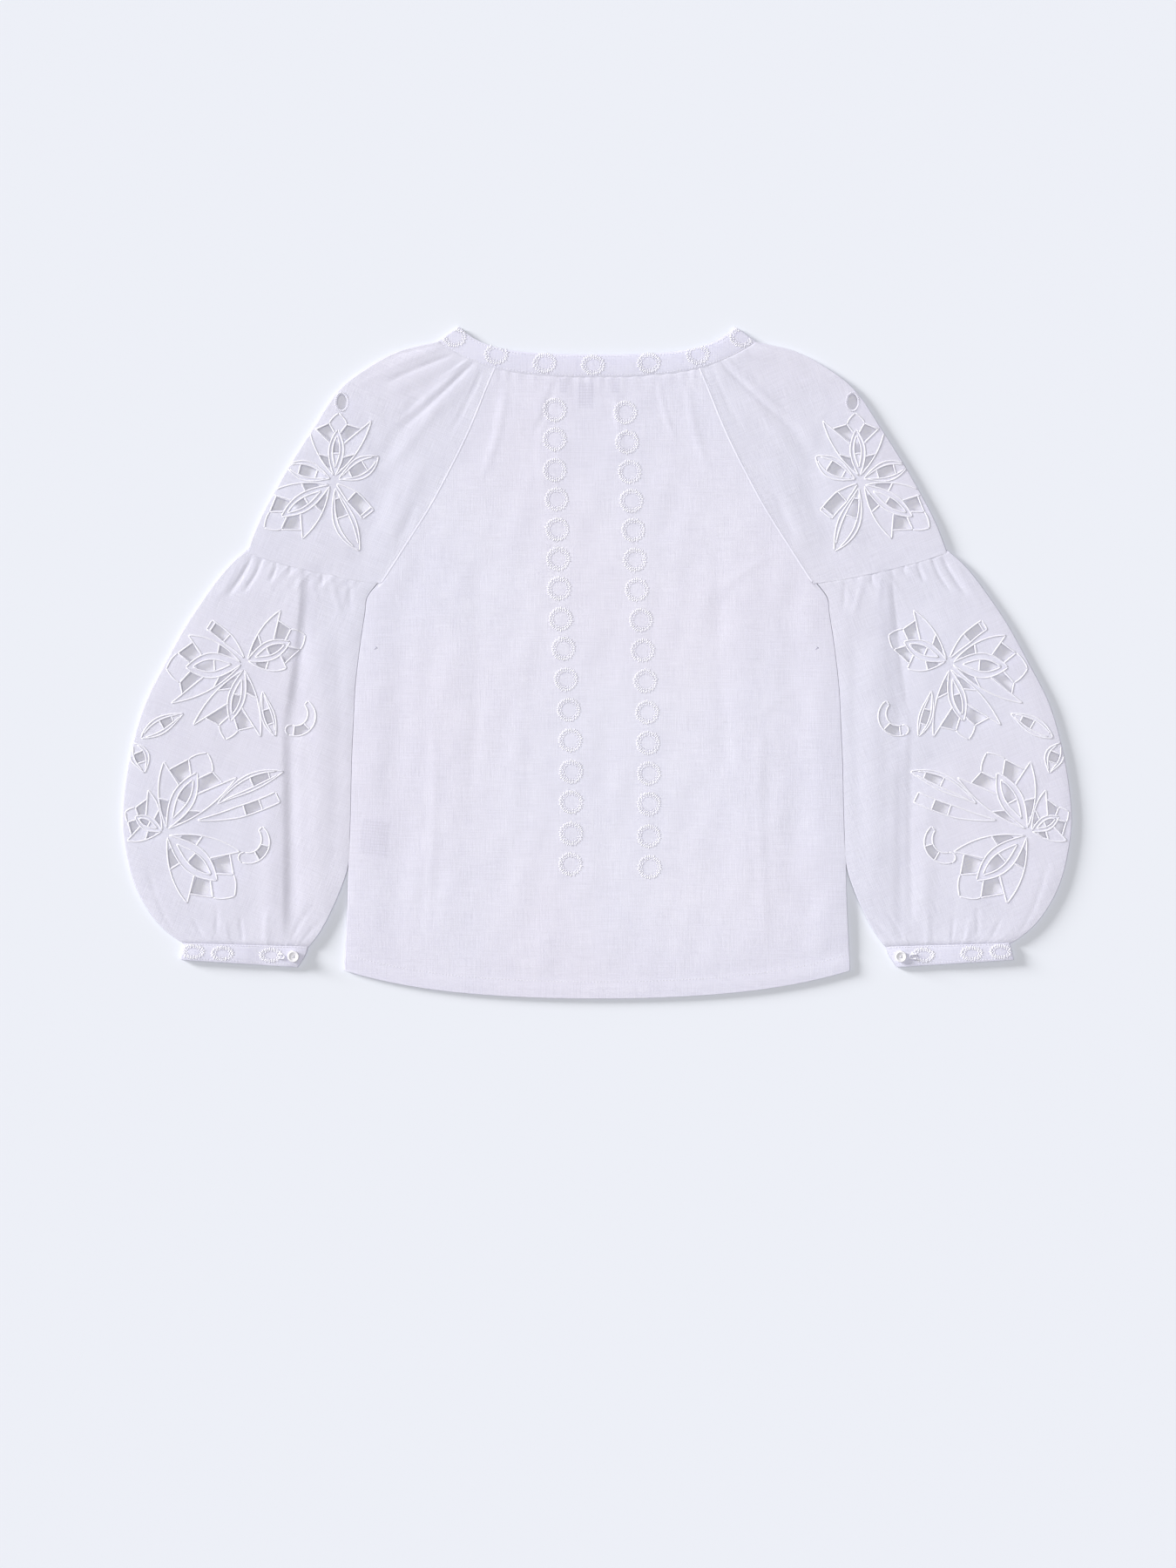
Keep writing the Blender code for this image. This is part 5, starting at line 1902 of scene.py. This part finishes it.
@dataclass(frozen=True)
class Sleeve:
    """One raglan sleeve: the upper piece, the gathered balloon and their cutwork."""

    hand: Hand
    gather_gain: float = 0.19
    fold_gain: float = 0.42
    crease_gain: float = 0.40
    edge_share: float = 0.85
    front_gap: float = 0.0028
    cord_half_width: float = 0.00080
    cord_height: float = 0.00036
    ridge_height: float = 0.00009
    ridge_shift: float = 0.0003

    def upper_shell(self) -> ClothShell:
        """The upper sleeve, folded over the shoulder line."""
        rows = len(SHOULDER) - 1
        gap = fold_inset(CLOTH)
        plan = PlanPanel(
            SHOULDER, RAGLAN, (0.0, GATHER_HANG), back_neck, gap, -LAP, (-SEAM_GAP - TUCK, LAP)
        )
        shares = np.linspace(1 / rows, 1.0, rows + 1)
        front_raglan = tuple(tuple(row) for row in along(RAGLAN, shares))
        under = PlanPanel(
            SHOULDER, front_raglan, (0.0, GATHER_HANG), lambda x: front_neck(x) - SEAM_GAP, gap,
            self.front_gap,
        )
        length = plan.length()

        def height(u: Array, v: Array, x: Array, y: Array) -> Array:
            """The height of the top layer's middle surface."""
            from_neck, from_end = v * length, (1.0 - v) * length
            from_seam = (1.0 - u) * plan.widths(v)
            lift = plan.loft(u, v, self.edge_share, 1.0)
            lift = lift + inside(u, 0.15) * self.fold_gain * relief(UPPER_FOLDS, x, y)
            z = lifted(lift) + ease(u / 0.12) * self.crease_gain * relief(UPPER_CREASES, x, y)
            z = z + inside(u, 0.12) * ripple(self.hand.value * x, y, 11)
            z = z - SEAM_SINK * (1.0 - ease(from_neck / SINK_FADE)) * ease(u / 0.15)
            from_edge = np.minimum(from_seam, from_end)
            away = (from_edge - SEAM_RIDGE_WIDTH) / SEAM_RIDGE_WIDTH
            ridge = SEAM_RIDGE * np.exp(-(away**2))
            return z + (ridge - LAP_DIP * (1.0 - smooth(from_edge / 0.0010))) * ease(u / 0.08)

        return ClothShell(
            f"upper_sleeve_{self.hand.word}_cloth", plan, height, self.hand.value, Layer.FOLDED,
            72, 110, under, 20, under_rise=UNDER_RISE,
        )

    def lower_shell(self) -> ClothShell:
        """The balloon, a flattened tube with gathers at both ends."""
        gap, close_gap = fold_inset(CLOTH), fold_inset(CLOTH, CLOSE_REACH)
        plan = PlanPanel(
            BALLOON, UNDERARM, (GATHER_HANG, 0.0), None, gap, SLEEVE_GAP + close_gap,
            (SEAM_GAP - TUCK, TUCK),
        )
        length = plan.length()

        def height(u: Array, v: Array, x: Array, y: Array) -> Array:
            """The height of the top layer's middle surface."""
            at_body = 1.0 - (1.0 - self.edge_share) * ease(v / 0.1)
            from_seam, from_cuff = v * length, (1.0 - v) * length
            sewn = 0.45 + 0.55 * ease(from_seam / 0.010)
            sewn = sewn * (0.20 + 0.80 * ease(from_cuff / 0.014))
            folds = self.fold_gain * relief(LOWER_FOLDS, x, y) + self._gathers(u, v)
            creases = self.crease_gain * relief(self._creases(), x, y)
            lift = plan.loft(u, v, self.edge_share, at_body) + inside(u, 0.08) * folds
            z = lifted(sewn * lift) + inside(u, 0.10) * creases * sewn
            z = z + inside(u, 0.10) * ripple(self.hand.value * x, y, 23)
            z = z - 0.0005 * (1.0 - smooth(from_seam / 0.0040)) * inside(u, 0.05)
            return z + inside(u, 0.06) * self._puckers(u, from_seam, from_cuff)

        return ClothShell(
            f"lower_sleeve_{self.hand.word}_cloth", plan, height, self.hand.value, Layer.TUBE,
            96, 140, None, 22, under_rise=UNDER_RISE, reaches=(FOLD_REACH, CLOSE_REACH),
        )

    def _creases(self) -> list[Crease]:
        """The creases of the balloon, whose long pleat stands toward the left on both sleeves."""
        turned = self.hand is Hand.RIGHT
        return [
            row._replace(height=-row.height) if turned and isinstance(row, Pleat) else row
            for row in LOWER_CREASES
        ]

    def _gathers(self, u: Array, v: Array) -> Array:
        """The gathers of the seam, which fade down the sleeve, and those of the cuff."""
        total = np.zeros_like(u)
        for gathers, away in ((SEAM_GATHERS, v), (CUFF_GATHERS, 1.0 - v)):
            for gather in gathers:
                across = np.clip(1.0 - np.abs(u - gather.u) * SLEEVE_COLUMNS / 0.9, 0.0, 1.0)
                fade = np.clip(1.0 - away / gather.length, 0.0, 1.0)
                total += self.gather_gain * gather.height * across**1.4 * fade
        return total

    @staticmethod
    def _puckers(u: Array, from_seam: Array, from_cuff: Array) -> Array:
        """Small gathers between the large ones."""
        seam = np.sin(2 * pi * 31 * u + 2.0 * np.sin(9 * u)) * np.exp(-from_seam / 0.010)
        cuff = np.sin(2 * pi * 27 * u + 1.6 * np.sin(11 * u)) * np.exp(-from_cuff / 0.009)
        return 0.00015 * (seam + cuff)

    def _sewn(self, needle: Needle, name: str, finish: Material, slot: str = "thread") -> Piece:
        """Hands over what the needle sewed on this sleeve."""
        return hand_over(needle.finish(f"{name}_{self.hand.word}", finish), slot)

    def _embroider(
        self, name: str, drawing: CutworkDrawing, seat: Seat, wardrobe: Wardrobe
    ) -> Piece:
        """The satin cords of a drawing."""
        needle = Needle()
        for line in drawing.lines():
            needle.cord(line, seat, self.cord_half_width, self.cord_height)
        return self._sewn(needle, name, wardrobe.cord)

    def _eyelets(self, seat: Seat, wardrobe: Wardrobe) -> Piece:
        """Radial stitches round each eyelet."""
        needle, side = Needle(), self.hand.value
        for row in UPPER_DRAWING.ovals:
            edges = (CutworkDrawing.oval(row, outward, 30) for outward in (0.0005, 0.0024))
            for start, end in zip(*edges):
                x, y = between(start, end, 0.5)
                turn = float(np.arctan2(end[1] - start[1], side * (end[0] - start[0])))
                needle.stitch(side * x, y, seat, turn, EYELET_STITCH)
        return self._sewn(needle, "eyelet_stitches", wardrobe.stitch)

    def _seam_ridge(self, upper: ClothShell, wardrobe: Wardrobe) -> Piece:
        """The felled edge of the raglan seam, half on the sleeve and half on the back."""
        needle = Needle()
        v = np.linspace(0.006, 0.990, 90)
        rows = upper.plan.points(np.ones_like(v), v)
        line = [(x + self.ridge_shift, y) for x, y in rows]
        seat = Seat(upper, Body().back_shell())
        needle.cord(line, seat, SEAM_RIDGE_WIDTH, self.ridge_height)
        return self._sewn(needle, "raglan_ridge", wardrobe.ridge, "linen")

    def _seam_stitches(self, upper: Seat, wardrobe: Wardrobe) -> Piece:
        """The stitching on the lapped raglan seam."""
        needle = Needle()
        rows = along(RAGLAN, np.linspace(0.03, 0.99, 60))
        needle.seam([(x + 0.0012, y) for x, y in rows], upper, 0.0026, FINE_STITCH)
        return self._sewn(needle, "raglan_stitching", wardrobe.stitch)

    def build(self, wardrobe: Wardrobe) -> None:
        """Builds the sleeve."""
        upper, lower = self.upper_shell(), self.lower_shell()
        seat = Seat(upper)
        for part, shell, drawing in (
            ("upper", upper, UPPER_DRAWING), ("lower", lower, LOWER_DRAWING)
        ):
            node = f"{part}_sleeve_{self.hand.word}"
            cloth = shell.build(wardrobe.sleeve[self.hand], drawing.cells())
            hand_over(cloth, "linen", f"{node}_back", f"{node}_front")
        upper_sewn = [
            self._embroider("upper_cutwork", UPPER_DRAWING, seat, wardrobe),
            self._eyelets(seat, wardrobe),
            self._seam_stitches(seat, wardrobe),
            self._seam_ridge(upper, wardrobe),
        ]
        lower_sewn = [self._embroider("lower_cutwork", LOWER_DRAWING, Seat(lower), wardrobe)]


@dataclass(frozen=True)
class Cuff:
    """A narrow folded cuff with ring embroidery, its button and the loop that holds it."""

    hand: Hand
    row_height: float = 0.0165
    button_y: float = -0.2869
    button_radius: float = 0.0057
    button_height: float = 0.0022
    hole_radius: float = 0.0006
    hole_offset: float = 0.0013
    sharp_angle: float = radians(40)
    loop_x: float = 0.3068
    loop_radius: float = 0.0021
    loop_length: float = 0.0040
    thread_radius: float = 0.0006
    twist: float = 0.35

    def shell(self) -> ClothShell:
        """The cuff, a flattened tube of doubled linen."""
        gap = fold_inset(BAND_CLOTH)
        plan = PlanPanel(
            CUFF_OUTER, CUFF_INNER, outer_gap=gap, inner_gap=gap, drops=(SEAM_GAP, 0.0)
        )

        def height(u: Array, v: Array, x: Array, y: Array) -> Array:
            """The height of the top layer's middle surface."""
            lift = (0.4 + 0.4 * smooth((0.72 - u) / 0.25)) * plan.loft(u, v, 0.7, 0.1)
            roll = band_roll(np.minimum(v, 1.0 - v) * self.row_height)
            z = BAND_FACE - BAND_CLOTH / 2 + lift + roll
            return z + 0.5 * inside(u, 0.1) * ripple(x, y, 31)

        return ClothShell(
            f"cuff_{self.hand.word}_cloth", plan, height, self.hand.value, Layer.TUBE, 64, 14,
            None, 20, wall=BAND_CLOTH, even_rows=True,
        )

    def _edge_stitches(self, seat: Seat, wardrobe: Wardrobe) -> Piece:
        """The stitching along both long edges."""
        needle = Needle()
        for share in (0.13, 0.87):
            start, end = (along(side, np.array(share)) for side in (CUFF_OUTER, CUFF_INNER))
            needle.seam([between(start, end, 0.02), between(start, end, 0.98)], seat, 0.0028)
        name = f"cuff_stitching_{self.hand.word}"
        return hand_over(needle.finish(name, wardrobe.stitch), "thread")

    def _button(self, wardrobe: Wardrobe) -> Piece:
        """A four-hole button with a rim, spun from its section."""
        radius, height = self.button_radius, self.button_height
        rim = 0.22 * radius
        section = (
            (0.0, 0.0), (radius - rim, 0.0), (radius - 0.3 * rim, 0.15 * height),
            (radius, 0.5 * height), (radius - 0.25 * rim, 0.88 * height),
            (radius - 0.7 * rim, height), (radius - 1.3 * rim, 0.93 * height),
            (radius - 2.0 * rim, 0.70 * height), (0.0, 0.66 * height),
        )
        bm = bmesh.new()
        verts = [bm.verts.new((away, 0.0, z)) for away, z in section]
        edges = [bm.edges.new(pair) for pair in zip(verts, verts[1:])]
        bmesh.ops.spin(
            bm, geom=verts + edges, cent=(0, 0, 0), axis=(0, 0, 1), angle=2 * pi, steps=56,
            use_merge=True,
        )
        bmesh.ops.remove_doubles(bm, verts=bm.verts[:], dist=1e-6)
        bmesh.ops.recalc_face_normals(bm, faces=bm.faces[:])
        seat = self._button_place()
        bmesh.ops.translate(bm, verts=bm.verts[:], vec=seat)
        piece = add_piece(f"button_{self.hand.word}", bm, wardrobe.button)
        drill = bmesh.new()
        for k in (1, 3, 5, 7):
            turn = k * pi / 4
            offset = Vector((self.hole_offset * cos(turn), self.hole_offset * sin(turn), 0.0))
            bmesh.ops.create_cone(
                drill, cap_ends=True, segments=14, radius1=self.hole_radius,
                radius2=self.hole_radius, depth=0.01, matrix=Matrix.Translation(seat + offset),
            )
        cut_with(piece, drill)
        smooth_to(piece, self.sharp_angle)
        return piece

    def _button_place(self) -> Vector:
        """The middle of the button's underside, where its solid has it."""
        low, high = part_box(f"cuff_button_{self.hand.word}")
        return Vector(((low.x + high.x) / 2, (low.y + high.y) / 2, low.z))

    def _button_thread(self, wardrobe: Wardrobe) -> Piece:
        """The crossed thread in the button's holes."""
        x, y, z = self._button_place()
        needle = Needle()
        for turn in (pi / 4, 3 * pi / 4):
            needle.stitch(x, y, z + 0.70 * self.button_height, turn, (0.0017, 0.00035, 0.0003))
        return needle.finish(f"button_thread_{self.hand.word}", wardrobe.stitch)

    def _loop(self, wardrobe: Wardrobe) -> Piece:
        """The thread loop: two twisted threads with a round end, lying on the cuff."""
        low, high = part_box(f"cuff_loop_{self.hand.word}")
        height = (low.z + high.z) / 2
        turns = [pi * i / 16 for i in range(17)]
        route = [(self.loop_length, self.loop_radius)]
        route += [(-self.loop_radius * sin(turn), self.loop_radius * cos(turn)) for turn in turns]
        route += [(self.loop_length, -self.loop_radius)]
        curve = bpy.data.curves.new(f"cuff_loop_{self.hand.word}_thread", "CURVE")
        curve.dimensions = "3D"
        curve.bevel_depth = 0.85 * self.thread_radius
        curve.bevel_resolution = 3
        curve.use_fill_caps = True
        for sway in (-self.twist * self.thread_radius, self.twist * self.thread_radius):
            spline = curve.splines.new("POLY")
            spline.points.add(len(route) - 1)
            for i, (knot, (x, y)) in enumerate(zip(spline.points, route)):
                across = self.hand.value * (self.loop_x + x + sway * cos(1.1 * i))
                knot.co = (across, self.button_y + y, height + sway * sin(1.1 * i), 1.0)
        curve.materials.append(wardrobe.stitch)
        drawn = link_new(curve.name, curve)
        piece = link_new(f"loop_{self.hand.word}_thread", evaluated_mesh(drawn))
        bpy.data.objects.remove(drawn, do_unlink=True)
        piece.data.shade_smooth()
        return piece

    def build(self, wardrobe: Wardrobe) -> None:
        """Builds the cuff."""
        word, shell = self.hand.word, self.shell()
        seat = Seat(shell)
        nodes = (f"cuff_{word}_back", f"cuff_{word}_front")
        cloth = hand_over(shell.build(wardrobe.band), "band_linen", *nodes)
        side = self.hand.value
        sewn = sew_rings(CUFF_RINGS, CUFF_RING, seat, wardrobe, "cuff", f"_{word}", side)
        sewn.append(self._edge_stitches(seat, wardrobe))
        hand_over(self._button(wardrobe), "button_plastic", f"cuff_button_{word}")
        hand_over(self._button_thread(wardrobe), "thread")
        hand_over(self._loop(wardrobe), "thread", f"cuff_loop_{word}")


@dataclass(frozen=True)
class BandPlan(PlanPanel):
    """A layer of the band in plan, from its free edge to its seam on the neck curve."""

    lean_power: float = 3.0

    def points(self, u: Array, v: Array) -> Array:
        """Plan points of the band."""
        reach = BAND_END_X - self.outer_gap
        x = reach * (1.0 - 2.0 * u)
        share = np.abs(x) / BAND_END_X
        lean = BAND_LEAN * share**self.lean_power * np.sign(x)
        rise = BAND_HEIGHT - BAND_NARROWING * share**2
        return np.stack([x - lean * (1.0 - v), self.neck(np.abs(x)) + rise * (1.0 - v)], axis=-1)


@dataclass(frozen=True)
class Collar:
    """The stand band, one strip that goes round the neck and is folded at both ends."""

    loft_share: float = 0.50
    end_loft_share: float = 0.10
    end_fall: float = 0.2

    def shell(self) -> ClothShell:
        """The band."""
        gap = fold_inset(BAND_CLOTH)
        ends = ((BAND_END_X, BAND_END_Y),) * 2
        back, front = (
            BandPlan(ends, mirrored(ends), (0.0, 0.0), neck, gap, gap, lean_power=power)
            for neck, power in ((back_neck, BACK_LEAN_POWER), (front_neck, FRONT_LEAN_POWER))
        )

        def height(u: Array, v: Array, x: Array, y: Array) -> Array:
            """The height of the top layer's middle surface."""
            rise = (self.loft_share - self.end_loft_share) * inside(u, self.end_fall)
            z = BAND_FACE - BAND_CLOTH / 2 + LOFT * (self.end_loft_share + rise)
            roll = band_roll(np.minimum(v, 1.0 - v) * BAND_HEIGHT)
            return z + roll + 0.5 * inside(u, 0.06) * ripple(x, y, 41)

        return ClothShell(
            "collar_band_cloth", back, height, 1, Layer.TUBE, 220, 16, front, 90,
            wall=BAND_CLOTH, even_rows=True,
        )

    def build(self, wardrobe: Wardrobe) -> None:
        """Builds the collar."""
        shell = self.shell()
        seat = Seat(shell)
        cloth = hand_over(shell.build(wardrobe.band), "band_linen", "collar_back", "collar_front")
        edges = Needle()
        for share in (0.09, 0.91):
            edges.seam(shell.plan.row_at(share, np.linspace(0.012, 0.988, 140)), seat)
        sewn = sew_rings(COLLAR_RINGS, COLLAR_RING, seat, wardrobe, "collar")
        sewn.append(hand_over(edges.finish("collar_stitching", wardrobe.stitch), "thread"))


@dataclass(frozen=True)
class Labels:
    """The bare woven labels between the layers."""

    wall: float = 0.00035
    slant: float = 0.12
    waviness: float = 0.00004

    def build(self, wardrobe: Wardrobe) -> None:
        """Builds each label in its node's place."""
        for node in ("neck_label", "size_tag", "care_label"):
            low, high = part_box(node)
            middle, length = (low + high) / 2, high.y - low.y
            slant = self.slant * length if node == "care_label" else 0.0
            width = high.x - low.x - slant
            bm = bmesh.new()
            bmesh.ops.create_grid(bm, x_segments=18, y_segments=12, size=0.5)
            for vert in bm.verts:
                x, y = vert.co.x, vert.co.y
                wave = self.waviness * sin(9 * x + 4 * y)
                vert.co = middle + Vector((width * x + slant * y, length * y, wave))
            piece = add_piece(f"{node}_tape", bm, wardrobe.tape)
            thicken(piece, self.wall, even=False)
            cut_with(piece)
            hand_over(piece, "label_tape", node)


@dataclass(frozen=True)
class Studio:
    """The pale floor, the soft light from the upper left and the camera overhead."""

    frame_height: float = 1.53
    distance: float = 4.0
    middle: Pair = (-0.0089, -0.1186)
    sun_elevation: float = 13.0
    sun_azimuth: float = 155.0
    sun_size: float = 15.0
    sun_share: float = 0.40
    overhead_size: float = 36.0
    overhead_share: float = 0.50
    sky_share: float = 0.16
    floor_half_size: float = 6.0
    floor_drop: float = 0.0002

    def build(self) -> None:
        """Builds the studio."""
        self._floor()
        self._light()
        self._camera()

    def _floor(self) -> None:
        """A plain floor."""
        bm = bmesh.new()
        bmesh.ops.create_grid(bm, x_segments=1, y_segments=1, size=self.floor_half_size)
        bmesh.ops.translate(bm, verts=bm.verts[:], vec=(0.0, 0.0, -self.floor_drop))
        made = bpy.data.materials.new("pale_floor")
        made.use_nodes = True
        principled = made.node_tree.nodes["Principled BSDF"]
        principled.inputs["Base Color"].default_value = (*FLOOR_COLOR, 1.0)
        principled.inputs["Roughness"].default_value = 1.0
        principled.inputs["Specular IOR Level"].default_value = 0.0
        add_piece("floor", bm, made)

    def _light(self) -> None:
        """A broad window, a softbox overhead and an even sky."""
        self._lamp("window", self.sun_share, self.sun_elevation, self.sun_size)
        self._lamp("softbox", self.overhead_share, 90.0, self.overhead_size)
        world = bpy.data.worlds.new("even_sky")
        world.use_nodes = True
        sky = world.node_tree.nodes["Background"]
        sky.inputs["Color"].default_value = (1.0, 1.0, 1.0, 1.0)
        sky.inputs["Strength"].default_value = self.sky_share
        bpy.context.scene.world = world

    def _lamp(self, name: str, share: float, elevation: float, size: float) -> None:
        """Adds a far lamp.

        Args:
            name: Its name.
            share: The light that it gives a level surface.
            elevation: How high it stands, in degrees.
            size: The angle that it fills, in degrees.
        """
        lamp = bpy.data.lights.new(name, "SUN")
        lamp.energy = share * pi / sin(radians(elevation))
        lamp.angle = radians(size)
        lamp.color = (1.0, 0.995, 0.98)
        turn = (radians(90.0 - elevation), 0.0, radians(self.sun_azimuth + 90.0))
        link_new(name, lamp).rotation_euler = turn

    def _camera(self) -> None:
        """A long lens straight overhead."""
        camera = bpy.data.cameras.new("overhead")
        camera.sensor_fit = "VERTICAL"
        camera.sensor_height = 24.0
        camera.lens = camera.sensor_height * self.distance / self.frame_height
        stand = link_new("overhead", camera)
        stand.location = (*self.middle, self.distance)
        bpy.context.scene.camera = stand


def main() -> None:
    """Builds the blouse and its studio."""
    logging.basicConfig(level=logging.INFO, format="%(name)s: %(message)s")
    bpy.context.scene.view_settings.view_transform = "Standard"
    wardrobe = Wardrobe()
    Studio().build()
    Body().build(wardrobe)
    Collar().build(wardrobe)
    for hand in Hand:
        Sleeve(hand).build(wardrobe)
        Cuff(hand).build(wardrobe)
    Labels().build(wardrobe)


if __name__ == "__main__":
    main()
